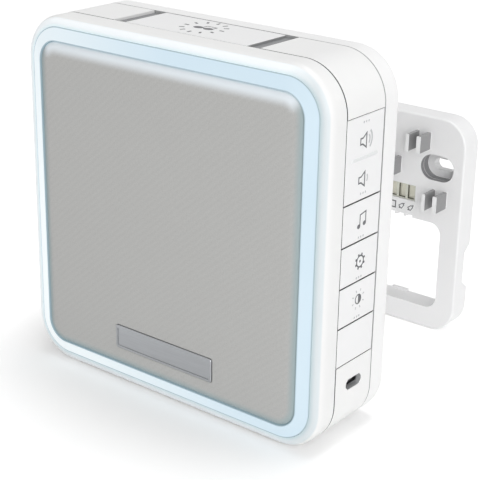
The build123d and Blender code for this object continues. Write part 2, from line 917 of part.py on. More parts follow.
# The soft ring that carries the cone: a low roll between the cone and the frame
with BuildPart() as speaker_surround:
    with BuildSketch(around_speaker()) as surround_profile:
        roll_front = cone_front - cone_wall
        with BuildLine():
            Line((cone_r, roll_front), (surround_r, roll_front))
            Line((surround_r, roll_front), (surround_r, roll_front - surround_wall))
            ThreePointArc(
                (surround_r, roll_front - surround_wall),
                ((surround_r + cone_r) / 2, roll_front - surround_roll),
                (cone_r, roll_front - surround_wall),
            )
            Line((cone_r, roll_front - surround_wall), (cone_r, roll_front))
        make_face()
    revolve(surround_profile.sketch, axis=speaker_axis)

with BuildPart() as speaker_screws:
    rod(facing(speaker_rear + small_head, speaker_height), small_head_r, small_head, speaker_holes)
    rod(
        facing(speaker_rear, speaker_height),
        small_screw_r,
        speaker_flange + gasket_thickness + small_grip,
        speaker_holes,
    )

# Back cover: a shell with a recess for the wall plate, pockets for its lugs and a battery bay
recess_height = recess_high - recess_low
recess_mid = (recess_high + recess_low) / 2
pocket_width = lug_width + 2 * plate_clear
pocket_height = lug_height + slide_gap + plate_clear + lug_climb
pocket_shift = (plate_clear - slide_gap - lug_climb) / 2
post_x = main_board_width / 2 - board_post_inset
board_rear = tub_front - main_board_stand
board_front = board_rear - main_board_thickness
board_mid = main_board_lift + main_board_height / 2
post_z = main_board_height / 2 - board_post_inset
board_posts = [(side * post_x, up * post_z) for side in (1, -1) for up in (1, -1)]
with BuildPart() as back_cover:
    slab(0, back_plane, back_seam)
    fillet(back_cover.faces().sort_by(Axis.Y)[-1].edges(), radius=cover_edge_r)
    slab(shell_wall, door_inner, back_seam - overrun, mode=Mode.SUBTRACT)
    prism(
        facing(door_inner, recess_mid),
        recess_width + 2 * tub_wall,
        recess_height + 2 * tub_wall,
        door_inner - tub_front,
        corner_r=plate_corner_r,
    )
    for x, z in lug_places:
        prism(
            facing(tub_front, dock_mid),
            pocket_width + 2 * tub_wall,
            pocket_height + 2 * tub_wall,
            tub_front - pocket_floor + tub_wall,
            (x, z + pocket_shift),
        )
    prism(
        facing(door_inner, bay_mid),
        2 * (bay_half + bay_wall + bay_lip),
        bay_high - bay_low + 2 * (bay_wall + bay_lip),
        door_inner - bay_floor + bay_wall,
    )
    rod(facing(door_inner), sleeve_r, door_inner - boss_rear, corner_places)
    prism(
        facing(back_plane + overrun, recess_mid),
        recess_width,
        recess_height,
        overrun + back_plane - recess_floor,
        mode=Mode.SUBTRACT,
        corner_r=plate_corner_r,
    )
    for x, z in lug_places:
        prism(
            facing(recess_floor + overrun, dock_mid),
            pocket_width,
            pocket_height,
            overrun + recess_floor - pocket_floor,
            (x, z + pocket_shift),
            Mode.SUBTRACT,
        )
    prism(
        facing(back_plane + overrun, bay_mid),
        2 * bay_half,
        bay_high - bay_low,
        overrun + back_plane - bay_floor,
        mode=Mode.SUBTRACT,
    )
    prism(
        facing(back_plane + overrun, bay_mid),
        2 * (bay_half + bay_wall),
        bay_high - bay_low + 2 * bay_wall,
        overrun + back_skin,
        mode=Mode.SUBTRACT,
    )
    rod(
        facing(back_plane + overrun),
        screw_head_r + slide_gap,
        overrun + screw_sink + screw_head,
        corner_places,
        Mode.SUBTRACT,
    )
    rod(
        facing(back_plane),
        screw_r + slide_gap,
        back_plane - boss_rear + overrun,
        corner_places,
        Mode.SUBTRACT,
    )
    rod(facing(tub_front, board_mid), board_post_r, main_board_stand, board_posts)
    rod(
        facing(tub_front, board_mid),
        board_screw_r + pivot_gap,
        main_board_stand + overrun,
        board_posts,
        Mode.SUBTRACT,
    )
    rod(
        facing(recess_floor + overrun, dock_mid),
        pin_r + fit_gap,
        tub_wall + 2 * overrun,
        pole_spots,
        Mode.SUBTRACT,
    )

with BuildPart() as housing_screws:
    head_seat = back_plane - screw_sink - screw_head
    rod(facing(head_seat + screw_head), screw_head_r, screw_head, corner_places)
    rod(facing(head_seat), screw_r, head_seat - boss_rear + screw_grip, corner_places)
    with BuildSketch(facing(head_seat + screw_head)) as cross:
        with Locations(*corner_places):
            Rectangle(screw_head_r, screw_head_r / 4)
            Rectangle(screw_head_r / 4, screw_head_r)
    extrude(cross.sketch, amount=screw_head / 2, mode=Mode.SUBTRACT)

# Main board with its screws, shield and larger components, in front of the recess
ear_mid = terminal_mid + pole_pitch / 4
ear_high = dock_mid + pole_rise + pin_holder_height / 2
with BuildPart() as main_board:
    prism(facing(board_rear, board_mid), main_board_width, main_board_height, main_board_thickness)
    ear_height = ear_high - board_mid
    prism(
        facing(board_rear, board_mid),
        board_ear_width,
        ear_height,
        main_board_thickness,
        (ear_mid, ear_height / 2),
    )
    rod(
        facing(board_rear + overrun, board_mid),
        board_screw_r + fit_gap,
        main_board_thickness + 2 * overrun,
        board_posts,
        Mode.SUBTRACT,
    )
    rod(
        facing(board_rear + overrun, dock_mid),
        pin_r + pivot_gap,
        main_board_thickness + 2 * overrun,
        pole_spots,
        Mode.SUBTRACT,
    )

with BuildPart() as main_board_screws:
    rod(facing(board_front, board_mid), board_head_r, board_head, board_posts)
    rod(
        facing(board_front + main_board_thickness + small_grip, board_mid),
        board_screw_r,
        main_board_thickness + small_grip,
        board_posts,
    )

with BuildPart() as radio_shield:
    shield_place = (-main_board_width / 4, 0)
    prism(
        facing(board_front, board_mid),
        shield_width,
        shield_height,
        shield_depth,
        shield_place,
        corner_r=shield_wall,
    )
    prism(
        facing(board_front, board_mid),
        shield_width - 2 * shield_wall,
        shield_height - 2 * shield_wall,
        shield_depth - shield_wall,
        shield_place,
        Mode.SUBTRACT,
    )

with BuildPart() as board_parts:
    for across_share, up_share in ((0.02, 0.1), (0.16, -0.2)):
        place = (across_share * main_board_width, up_share * main_board_height)
        prism(facing(board_front, board_mid), chip_size, chip_size, chip_depth, place)
    for across_share in (0.28, 0.36):
        rod(facing(board_front, board_mid), can_r, can_depth, [(across_share * main_board_width, -can_r)])

# Spring pins that meet the plate's terminal strip, in their holder behind the main board
with BuildPart() as pin_holder:
    prism(
        facing(tub_front, dock_mid),
        terminal_width,
        pin_holder_height,
        main_board_stand,
        (terminal_mid, pole_rise),
    )
    rod(
        facing(tub_front + overrun, dock_mid),
        pin_r + pivot_gap,
        main_board_stand + 2 * overrun,
        pole_spots,
        Mode.SUBTRACT,
    )

with BuildPart() as contact_pins:
    pin_tip = blade_front - plate_travel - pin_gap
    rod(facing(pin_tip, dock_mid), pin_r, pin_tip - board_front + pin_tail, pole_spots)

# Four cells in two rows, opposite ways round, and the sheet contacts at their ends
with BuildPart() as battery_cells:
    for row, height in enumerate(row_heights):
        for side in (1, -1):
            forward = 1 if row == 0 else -1
            body_start = side * (cell_length / 2 + cell_gap / 2) - forward * cell_length / 2
            start_plane = Plane(
                origin=(body_start, row_depth, height),
                x_dir=(0, 1, 0),
                z_dir=(forward, 0, 0),
            )
            rod(start_plane, cell_r, cell_length - cell_nub, [(0, 0)])
            rod(start_plane.offset(cell_length - cell_nub), cell_nub_r, cell_nub, [(0, 0)])

with BuildPart() as battery_contacts:
    for height in row_heights:
        for side in (1, -1):
            wall_plane = Plane(
                origin=(side * bay_half, row_depth, height),
                x_dir=(0, 1, 0),
                z_dir=(-side, 0, 0),
            )
            prism(wall_plane, contact_size, contact_size, contact_thickness)
            with BuildSketch(wall_plane.offset(contact_thickness)) as bump_foot:
                Circle(contact_bump_r)
            with BuildSketch(wall_plane.offset(contact_space - cell_gap)) as bump_top:
                Circle(contact_bump_r / 2)
            loft([bump_foot.sketch.face(), bump_top.sketch.face()])

# Battery door: flush with the cover's back, with a latch tongue and a finger grip
with BuildPart() as battery_door:
    door_width = 2 * (bay_half + bay_wall - slide_gap)
    door_height = bay_high - bay_low + 2 * (bay_wall - slide_gap)
    prism(facing(back_plane, bay_mid), door_width, door_height, back_skin)
    ease_door = battery_door.faces().sort_by(Axis.Y)[-1].edges()
    chamfer(ease_door, length=key_edge_r)
    latch_mid = bay_high - bay_mid - cell_gap - latch_thickness / 2
    prism(facing(door_inner, bay_mid), latch_width, latch_thickness, latch_length, (0, latch_mid))
    grip_mid = door_height / 2 - 2 * grip_height
    prism(
        facing(back_plane + overrun, bay_mid),
        grip_width,
        grip_height,
        overrun + grip_depth,
        (0, grip_mid),
        Mode.SUBTRACT,
    )


def plate_plane(y):
    """Plane at depth y whose origin is the middle of the wall plate."""
    return facing(y, plate_mid)


# Wall plate: a tray that is open to the wall, with a wire window, two counterbored slots and lugs
with BuildPart() as wall_plate:
    prism(plate_plane(plate_back), plate_width, plate_height, plate_depth, corner_r=plate_corner_r)
    fillet(wall_plate.faces().sort_by(Axis.Y)[0].edges(), radius=plate_edge_r)
    with BuildSketch(plate_plane(plate_back)) as tray:
        RectangleRounded(
            plate_width - 2 * plate_wall,
            plate_height - 2 * plate_wall,
            plate_corner_r - plate_wall,
        )
        with Locations((0, -window_drop)):
            RectangleRounded(
                window_width + 2 * window_wall,
                window_height + 2 * window_wall,
                window_corner_r + window_wall,
                mode=Mode.SUBTRACT,
            )
        with Locations((slot_offset, slot_rise), (-slot_offset, slot_rise)):
            SlotOverall(
                slot_sink_length + 2 * slot_boss_wall,
                slot_sink_width + 2 * slot_boss_wall,
                mode=Mode.SUBTRACT,
            )
    extrude(tray.sketch, amount=plate_depth - plate_skin, mode=Mode.SUBTRACT)
    prism(
        plate_plane(plate_back + overrun),
        window_width,
        window_height,
        plate_depth + 2 * overrun,
        (0, -window_drop),
        Mode.SUBTRACT,
        window_corner_r,
    )
    with BuildSketch(plate_plane(plate_front + slot_sink_depth)) as sinks:
        with Locations((slot_offset, slot_rise), (-slot_offset, slot_rise)):
            SlotOverall(slot_sink_length, slot_sink_width)
    extrude(sinks.sketch, amount=slot_sink_depth + overrun, mode=Mode.SUBTRACT)
    with BuildSketch(plate_plane(plate_back + overrun)) as slots:
        with Locations((slot_offset, slot_rise), (-slot_offset, slot_rise)):
            SlotOverall(slot_length, slot_width)
    extrude(slots.sketch, amount=plate_depth, mode=Mode.SUBTRACT)
    for x, z in lug_places:
        outward = 1 if x > 0 else -1
        with BuildSketch(plate_plane(plate_front)) as fins:
            for thickness, way in ((lug_inner_fin, -1), (lug_outer_fin, 1)):
                with Locations((x + outward * way * (lug_width - thickness) / 2, z)):
                    RectangleRounded(thickness, lug_height, lug_edge_r)
        extrude(fins.sketch, amount=lug_depth)
    # Cable notches in the rear edge of both side walls
    with BuildSketch(Plane.YZ.offset(-half_width)) as notch:
        with Locations((plate_back, plate_mid - notch_drop)):
            Polygon(
                (overrun, notch_length / 2 + overrun),
                (0, notch_length / 2),
                (-notch_depth, notch_length / 2 - notch_slope),
                (-notch_depth, notch_slope - notch_length / 2),
                (0, -notch_length / 2),
                (overrun, -notch_length / 2 - overrun),
                align=None,
            )
    extrude(notch.sketch, amount=body_width, mode=Mode.SUBTRACT)
    # The opening for the terminal strip, and the wire slots at the window's top edge
    prism(
        plate_plane(skin_rear + overrun),
        terminal_width + terminal_margin,
        terminal_height,
        plate_skin + 2 * overrun,
        (terminal_mid, pole_rise),
        Mode.SUBTRACT,
    )
    with BuildSketch(plate_plane(skin_rear)) as wire_slots:
        with Locations(*[(x, window_top) for x in pole_places]):
            Rectangle(wire_slot_width, 2 * wire_slot_height)
    extrude(wire_slots.sketch, amount=plate_skin + overrun, mode=Mode.SUBTRACT)
    with BuildSketch(plate_plane(skin_rear + 2 * plate_wall)) as wire_ways:
        with Locations(*[(x, window_top + window_wall / 2) for x in pole_places]):
            Rectangle(cell_width, window_wall + 2 * fit_gap)
    extrude(wire_ways.sketch, amount=2 * plate_wall - fit_gap, mode=Mode.SUBTRACT)
    # A small tab on the rear edge of the window's lower wall
    prism(
        plate_plane(plate_back),
        tab_width,
        2 * tab_height,
        tab_thickness,
        (tab_offset, -window_drop - window_height / 2),
    )

# Terminal strip: a dark housing behind the plate's skin, with an open cell for each pole
with BuildPart() as terminal_block:
    block_height = terminal_high - terminal_low
    prism(
        plate_plane(skin_rear + terminal_body_depth),
        terminal_width + 2 * terminal_margin,
        block_height,
        terminal_body_depth,
        (terminal_mid, (terminal_high + terminal_low) / 2),
    )
    prism(
        plate_plane(skin_rear),
        terminal_width + terminal_margin - 2 * fit_gap,
        terminal_height - 2 * fit_gap,
        plate_skin - terminal_face_sink,
        (terminal_mid, pole_rise),
    )
    with BuildSketch(plate_plane(plate_front + terminal_face_sink + cell_depth)) as cells:
        with Locations(*pole_spots):
            Rectangle(cell_width, cell_height)
    extrude(cells.sketch, amount=cell_depth + overrun, mode=Mode.SUBTRACT)

    # Wire holes from below, behind the blades
    hole_depth = skin_rear + terminal_body_depth / 2
    with BuildSketch(Plane.XY.offset(plate_mid + terminal_low)) as wire_holes:
        with Locations(*[(x, hole_depth) for x in pole_places]):
            Circle(wire_hole_r)
    extrude(wire_holes.sketch, amount=terminal_height, mode=Mode.SUBTRACT)

with BuildPart() as terminal_blades:
    blade_rear = plate_front + terminal_face_sink + cell_depth
    with BuildSketch(plate_plane(blade_rear)) as blades:
        with Locations(*pole_spots):
            Rectangle(cell_width - 2 * fit_gap, cell_height - 2 * fit_gap)
    extrude(blades.sketch, amount=blade_rear - blade_front)

pieces = {
    "front_bezel": front_bezel,
    "light_ring": light_ring,
    "grille_panel": grille_panel,
    "badge_plate": badge_plate,
    "grille_carrier": grille_carrier,
    "lamp_boards": lamp_boards,
    "lamps": lamps,
    "middle_band": middle_band,
    "strip_inserts": strip_inserts,
    "top_key": top_key,
    "top_plunger": top_plunger,
    "top_board": top_board,
    "top_switch": top_switch,
    "top_board_screws": top_board_screws,
    "volume_rocker": volume_rocker,
    "rocker_axle": rocker_axle,
    "rocker_plungers": rocker_plungers,
    "melody_key": melody_key,
    "melody_plunger": melody_plunger,
    "settings_key": settings_key,
    "settings_plunger": settings_plunger,
    "brightness_key": brightness_key,
    "brightness_plunger": brightness_plunger,
    "blank_panel": blank_panel,
    "side_board": side_board,
    "key_switches": key_switches,
    "side_board_screws": side_board_screws,
    "usb_shell": usb_shell,
    "usb_tongue": usb_tongue,
    "speaker_gasket": speaker_gasket,
    "speaker_frame": speaker_frame,
    "speaker_magnet": speaker_magnet,
    "speaker_cone": speaker_cone,
    "speaker_surround": speaker_surround,
    "speaker_screws": speaker_screws,
    "back_cover": back_cover,
    "housing_screws": housing_screws,
    "main_board": main_board,
    "main_board_screws": main_board_screws,
    "radio_shield": radio_shield,
    "board_parts": board_parts,
    "pin_holder": pin_holder,
    "contact_pins": contact_pins,
    "battery_cells": battery_cells,
    "battery_contacts": battery_contacts,
    "battery_door": battery_door,
    "wall_plate": wall_plate,
    "terminal_block": terminal_block,
    "terminal_blades": terminal_blades,
}

for name, piece in pieces.items():
    piece.part.label = name
    export_step(piece.part, f"parts/{name}.step")
    print(name, len(piece.part.solids()), "solids", round(piece.part.volume, 1))
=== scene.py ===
# %% [markdown]
# A doorbell chime box and the wall plate it hangs on.
# The box is three white mouldings: a front frame, a middle band and a back cover. A milky ring
# in the front frame is lit from behind, and grey cloth covers the speaker inside it.
# The shapes come from the CAD model, which is loaded first and never changed. This script gives
# every piece its finish and adds what is too thin or too soft for the CAD model: the cloth and
# the printed symbols.

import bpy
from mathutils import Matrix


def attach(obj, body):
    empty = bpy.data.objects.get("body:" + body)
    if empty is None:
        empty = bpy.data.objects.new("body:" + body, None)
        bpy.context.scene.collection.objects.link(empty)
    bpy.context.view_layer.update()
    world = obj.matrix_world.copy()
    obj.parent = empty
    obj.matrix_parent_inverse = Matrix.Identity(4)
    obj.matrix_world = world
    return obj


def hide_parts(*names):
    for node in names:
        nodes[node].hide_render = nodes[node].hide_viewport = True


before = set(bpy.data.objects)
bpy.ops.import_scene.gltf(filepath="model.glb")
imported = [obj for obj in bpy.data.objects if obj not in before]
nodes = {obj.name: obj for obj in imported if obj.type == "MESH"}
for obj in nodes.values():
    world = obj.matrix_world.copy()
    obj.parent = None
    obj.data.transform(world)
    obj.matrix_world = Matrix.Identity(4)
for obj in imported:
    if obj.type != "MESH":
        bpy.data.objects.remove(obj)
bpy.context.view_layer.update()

# %% [markdown]
# Blender works in metres, but the sizes of a small product are easier to read in millimetres. One
# value turns millimetres into metres wherever a size is used.

# %% Libraries and the unit
import math

import bmesh
import bpy
from mathutils import Quaternion, Vector

mm = 0.001
print("CAD pieces:", len(nodes))

# %% [markdown]
# Colours are written as the hex values that a paint tool shows, which are sRGB. Blender's shaders
# work on linear light, so one function turns a hex value into linear red, green and blue.


# %% Colour helper
def colour(hex_value):
    """An sRGB hex value such as "#f2f2f0" as linear red, green, blue and alpha."""
    channels = [int(hex_value[i:i + 2], 16) / 255 for i in (1, 3, 5)]
    linear = [c / 12.92 if c <= 0.04045 else ((c + 0.055) / 1.055) ** 2.4 for c in channels]
    return (*linear, 1.0)


print("white plastic in linear light:", [round(c, 3) for c in colour("#f2f2f0")[:3]])

# %% [markdown]
# Every finish is a node tree. Writing each node by hand takes many lines, so one small function
# adds a node, sets its properties and sockets, and links what comes into it. Properties that come
# back in many nodes are kept under a short name.

# %% Properties that nodes share
soft_step = {"interpolation_type": "SMOOTHSTEP"}
colours = {"data_type": "RGBA"}
colour_product = {"data_type": "RGBA", "blend_type": "MULTIPLY"}
add, subtract = {"operation": "ADD"}, {"operation": "SUBTRACT"}
multiply, divide = {"operation": "MULTIPLY"}, {"operation": "DIVIDE"}
larger, less_than = {"operation": "MAXIMUM"}, {"operation": "LESS_THAN"}
size_only, sign_only = {"operation": "ABSOLUTE"}, {"operation": "SIGN"}
length, dot_product = {"operation": "LENGTH"}, {"operation": "DOT_PRODUCT"}


# %% Node helper
def add_node(tree, kind, settings=None, **sockets):
    """Add a node. settings are its properties. A socket gets a value, a hex colour or a link."""
    node = tree.nodes.new(kind)
    for key, value in (settings or {}).items():
        setattr(node, key, value)
    for key, value in sockets.items():
        name = key.replace("_", " ")
        socket = node.inputs[int(key[1:])] if key[0] == "i" and key[1:].isdigit() else node.inputs[name]
        if isinstance(value, bpy.types.NodeSocket):
            tree.links.new(value, socket)
        else:
            socket.default_value = colour(value) if isinstance(value, str) else value
    return node


def new_finish(name):
    """An empty material and its node tree, with the object's own coordinates in metres."""
    material = bpy.data.materials.new(name)
    material.use_nodes = True
    tree = material.node_tree
    tree.nodes.clear()
    place = add_node(tree, "ShaderNodeTexCoord").outputs["Object"]
    return material, tree, place


def surface(tree, shader):
    """Send a shader to the material's surface."""
    add_node(tree, "ShaderNodeOutputMaterial", Surface=shader.outputs[0])


# %% [markdown]
# Two questions come up in several finishes. Does a point lie in a certain box, such as a groove?
# And how far out does it lie on the front, whose outlines are rounded squares with the same corner
# centres? Both are worked out from the object's own coordinates, so the answer stays with the
# piece from every side.

# %% Places on the box
middle = 64.0  # height of the front's middle
corner_centre = 48.0  # from the middle to the corners' centres, sideways and up
right_face, top_face_height, plate_front = 64.0, 128.0, 91.6


def inside_box(tree, place, low, high):
    """1 inside a box between two corners in millimetres, 0 outside it."""
    centre = [(a + b) / 2 * mm for a, b in zip(low, high)]
    half = [(b - a) / 2 * mm for a, b in zip(low, high)]
    away = add_node(tree, "ShaderNodeVectorMath", subtract, i0=place, i1=centre)
    size = add_node(tree, "ShaderNodeVectorMath", size_only, i0=away.outputs[0])
    past = add_node(tree, "ShaderNodeVectorMath", subtract, i0=size.outputs[0], i1=half)
    axes = add_node(tree, "ShaderNodeSeparateXYZ", Vector=past.outputs[0])
    in_plan = add_node(tree, "ShaderNodeMath", larger, i0=axes.outputs[0], i1=axes.outputs[1])
    furthest = add_node(tree, "ShaderNodeMath", larger, i0=in_plan.outputs[0], i1=axes.outputs[2])
    return add_node(tree, "ShaderNodeMath", less_than, i0=furthest.outputs[0], i1=0.0).outputs[0]


def way_out(tree, place):
    """How far out on the front a point lies, and how much of that way leads up (-1 to 1)."""
    away = add_node(tree, "ShaderNodeVectorMath", subtract, i0=place, i1=(0, 0, middle * mm))
    size = add_node(tree, "ShaderNodeVectorMath", size_only, i0=away.outputs[0])
    limit = (corner_centre * mm, 1.0, corner_centre * mm)
    past = add_node(tree, "ShaderNodeVectorMath", subtract, i0=size.outputs[0], i1=limit)
    out = add_node(tree, "ShaderNodeVectorMath", larger, i0=past.outputs[0], i1=(0, 0, 0))
    far = add_node(tree, "ShaderNodeVectorMath", length, i0=out.outputs[0]).outputs["Value"]
    rise = add_node(tree, "ShaderNodeSeparateXYZ", Vector=out.outputs[0]).outputs[2]
    side = add_node(tree, "ShaderNodeSeparateXYZ", Vector=away.outputs[0]).outputs[2]
    sign = add_node(tree, "ShaderNodeMath", sign_only, i0=side)
    share = add_node(tree, "ShaderNodeMath", divide, i0=rise, i1=far)
    upward = add_node(tree, "ShaderNodeMath", multiply, i0=share.outputs[0], i1=sign.outputs[0])
    return far, upward.outputs[0]


print("corner centres are", corner_centre, "mm from the middle, which is", middle, "mm up")

# %% [markdown]
# The white mouldings are ABS, a tough plastic that is injected into a steel mould. The steel is
# spark eroded, which leaves a fine grain in the plastic, so highlights are broad and soft. ABS has
# an IOR of about 1.54. The real grain is near 0.1 mm. It is drawn at 0.35 mm, because a finer one
# doesn't show at this distance. A wide, very weak noise stands for the slight unevenness that
# every moulding has in its colour. Faces in the narrow gaps between mouldings, in grooves and in
# recesses get a painted grey. It stands for the shade that falls there, where little light gets about.

# %% Moulded plastic
mould_grain, grain_height, grain_strength = 0.35 * mm, 0.02 * mm, 0.05
cloud_size = 22 * mm
gloss_spread = 0.06


def moulded_plastic(name, light_hex, dark_hex, roughness, painted_shades=()):
    """A moulded plastic with a fine grain. Each painted shade is a box's two corners and the grey painted on
    the faces in it.
    """
    material, tree, place = new_finish(name)
    cloud = add_node(tree, "ShaderNodeTexNoise", Vector=place, Scale=1 / cloud_size, Detail=3.0)
    tint = add_node(tree, "ShaderNodeMix", colours, Factor=cloud.outputs["Fac"], i6=dark_hex, i7=light_hex)
    # Faces inside each box get its grey, a painted shade for the little light that falls there.
    for low, high, grey in painted_shades:
        within = inside_box(tree, place, low, high)
        tint = add_node(tree, "ShaderNodeMix", colours, Factor=within, i6=tint.outputs[2], i7=grey)
    fine = add_node(tree, "ShaderNodeTexNoise", Vector=place, Scale=1 / mould_grain, Detail=2.0)
    relief = add_node(
        tree, "ShaderNodeBump", Height=fine.outputs["Fac"], Strength=grain_strength, Distance=grain_height
    )
    gloss = add_node(
        tree, "ShaderNodeMapRange", Value=fine.outputs["Fac"],
        To_Min=roughness - gloss_spread, To_Max=roughness + gloss_spread,
    )
    shader = add_node(
        tree, "ShaderNodeBsdfPrincipled", Base_Color=tint.outputs[2], Roughness=gloss.outputs[0],
        IOR=1.54, Normal=relief.outputs[0],
    )
    surface(tree, shader)
    return material


print("mould grain:", round(mould_grain / mm, 2), "mm")

# %% [markdown]
# Each painted shade is written as the two corners of a box, in millimetres, and a grey. The faces
# of a moulding that lie in the box get the grey, a painted shade for seams, gaps, grooves and
# recesses. The deeper and narrower such a place is, the darker its painted grey.

# %% Painted shade in the box's seams, key gaps, inlet and grooves, and on the rocker's rib
front_seam_shade = ((-70, -10.62, -2), (70, -10.1, 130), "#4f5051")
back_seam_shade = ((-70, 10.1, -2), (70, 10.62, 130), "#bcbdbd")
key_side_shade = ((-63.85, -10.7, 0), (63.85, 9.6, 120), "#4a4b4c")
key_back_shade = ((-63.85, 9.6, 0), (63.85, 10.7, 120), "#a3a4a5")
key_column_shade = ((55, -10.7, 15.3), (63.9, 10.0, 112.7), "#4a4b4c")
inlet_wall_shade = ((55, -4.3, 18.9), (63.85, 4.8, 23.3), "#b4b5b6")
left_groove_shade = ((-29.4, -10.4, 120), (-22.3, 10.4, 127.93), "#7f8081")
right_groove_shade = ((22.3, -10.4, 120), (29.4, 10.4, 127.93), "#a4a5a6")
top_key_side_shade = ((-30, -10.7, 120), (30, 10.7, 127.8), "#a2a3a4")
# The rocker's rib gets a pale painted grey that stands for the shade on its flanks.
rocker_rib_shade = ((64.06, -12, 60), (65, 12, 120), "#e4e5e6")

# %% Painted shade on the wall plate: lug sides, the two screw recesses with their wells, terminal cells
lug_side_shade = ((-60, 84.1, 0), (60, 91.4, 90), "#939394")
left_rim_shade = ((-45, 91.8, 60.4), (-30.3, 93.7, 70.8), "#8b8b8d")
left_well_shade = ((-45, 93.9, 60.4), (-30.3, 97.0, 70.8), "#8b8b8d")
right_rim_shade = ((30.3, 91.8, 60.4), (45, 93.7, 70.8), "#8b8b8d")
right_well_shade = ((30.3, 93.9, 60.4), (45, 97.0, 70.8), "#8b8b8d")
terminal_cell_shade = ((-60, 92.25, 40), (60, 94.0, 75), "#5f5f55")

# %% White mouldings
front_white = moulded_plastic("white_abs_front", "#f3f3f2", "#eeeeee", 0.42, [front_seam_shade])
band_white = moulded_plastic(
    "white_abs_band", "#f4f4f3", "#f0f0f0", 0.45,
    [front_seam_shade, back_seam_shade, key_column_shade, inlet_wall_shade, left_groove_shade, right_groove_shade],
)
key_white = moulded_plastic("white_abs_keys", "#f4f4f4", "#f0f0f1", 0.48, [key_side_shade, key_back_shade, rocker_rib_shade])
top_key_white = moulded_plastic("white_abs_top_key", "#f4f4f4", "#f0f0f1", 0.48, [top_key_side_shade])
cover_white = moulded_plastic("white_abs_cover", "#f7f7f7", "#f3f3f3", 0.42, [back_seam_shade])
plate_white = moulded_plastic(
    "white_abs_plate", "#f4f4f4", "#f0f0f1", 0.4, [lug_side_shade, left_rim_shade, left_well_shade, right_rim_shade, right_well_shade],
)
print("white finishes:", len([m for m in bpy.data.materials if m.name.startswith("white_abs")]))

# %% [markdown]
# The thin front edge of the frame lies right beside the ring. It gets a painted glow: the white
# plastic gives off a faint light as far as the middle of the rounding, least of all below, and
# its colour is painted bluer near the ring. On the right it gets no glow but a painted grey shade,
# so the edge looks greyer than the rest of the frame. This could be done with a plastic
# that light passes through, but a weak glow on the edge renders much faster and without grain.

# %% Painted glow and shade in the frame's edge
edge_back, edge_front = -17.6 * mm, -18.3 * mm
painted_grey_side, painted_glow_side = 60 * mm, 46 * mm
past_ring, beside_ring = 14.2 * mm, 12.4 * mm
tree = front_white.node_tree
shader = tree.nodes["Principled BSDF"]
place = tree.nodes["Texture Coordinate"].outputs["Object"]
axes = add_node(tree, "ShaderNodeSeparateXYZ", Vector=place)
on_edge = add_node(
    tree, "ShaderNodeMapRange", soft_step, Value=axes.outputs[1], From_Min=edge_back, From_Max=edge_front
)
# Painted grey shade on the right side, painted glow further left.
inward = add_node(
    tree, "ShaderNodeMapRange", soft_step, Value=axes.outputs[0], From_Min=painted_grey_side, From_Max=painted_glow_side
)
painted_edge_tint = add_node(tree, "ShaderNodeMix", colours, Factor=inward.outputs[0], i6="#dde4e7", i7="#f0f4f6")
far, upward = way_out(tree, place)
by_ring = add_node(
    tree, "ShaderNodeMapRange", soft_step, Value=far, From_Min=past_ring, From_Max=beside_ring
)
# The edge's colour is painted bluer near the ring.
painted_edge_tint = add_node(
    tree, "ShaderNodeMix", colour_product, Factor=by_ring.outputs[0], i6=painted_edge_tint.outputs[2], i7="#eef9fb"
)
plain = shader.inputs["Base Color"].links[0].from_socket
tint = add_node(tree, "ShaderNodeMix", colours, Factor=on_edge.outputs[0], i6=plain, i7=painted_edge_tint.outputs[2])
tree.links.new(tint.outputs[2], shader.inputs["Base Color"])
# The painted glow on the edge, least of all below.
least_below = add_node(
    tree, "ShaderNodeMapRange", Value=upward, From_Min=-1.0, From_Max=0.0, To_Min=0.03, To_Max=0.18
)
painted_glow = add_node(tree, "ShaderNodeMath", multiply, i0=on_edge.outputs[0], i1=inward.outputs[0])
faint = add_node(tree, "ShaderNodeMath", multiply, i0=painted_glow.outputs[0], i1=least_below.outputs[0])
tree.links.new(faint.outputs[0], shader.inputs["Emission Strength"])
shader.inputs["Emission Color"].default_value = colour("#e8eff5")
print("the edge glows in front of y =", round(edge_back / mm, 1), "mm")

# %% [markdown]
# The ring is a diffuser: milky polycarbonate with small lamps behind it. Such a plastic scatters
# the light so well that its whole face glows evenly, so the finish gives off light by itself. It is
# whitest on the left and bluer along the top and the right. Along both edges the plastic turns down
# into its seat, and a thin dull line is painted there. It is partly the weaker glow where the
# plastic turns away, and partly a painted shade of the narrow gap beside it. The surface is
# polished, with polycarbonate's IOR of 1.58, which gives it clearer reflections than the ABS beside it.

# %% Milky diffuser
lamp_spacing = 30 * mm
blue_way, least_blue, most_blue = (12.9, 0.0, 4.3), -0.475, 0.525  # mostly to the right, a little up
painted_edge_lines = ((11.95, 12.25), (8.15, 7.8))  # where each painted dull line starts and is full, in mm
ring_finish, tree, place = new_finish("milky_polycarbonate_lit")
lamp_wave = add_node(tree, "ShaderNodeTexNoise", Vector=place, Scale=1 / lamp_spacing, Detail=1.0)
way = add_node(tree, "ShaderNodeVectorMath", dot_product, i0=place, i1=blue_way)
cool = add_node(
    tree, "ShaderNodeMapRange", Value=way.outputs["Value"], From_Min=least_blue, From_Max=most_blue
)
glow = add_node(tree, "ShaderNodeMix", colours, Factor=cool.outputs[0], i6="#fbffff", i7="#cfe5f3")
spots = add_node(
    tree, "ShaderNodeMapRange", Value=lamp_wave.outputs["Fac"], From_Min=0.3, From_Max=0.7, To_Max=0.15
)
glow = add_node(tree, "ShaderNodeMix", colours, Factor=spots.outputs[0], i6=glow.outputs[2], i7="#ffffff")
far, upward = way_out(tree, place)
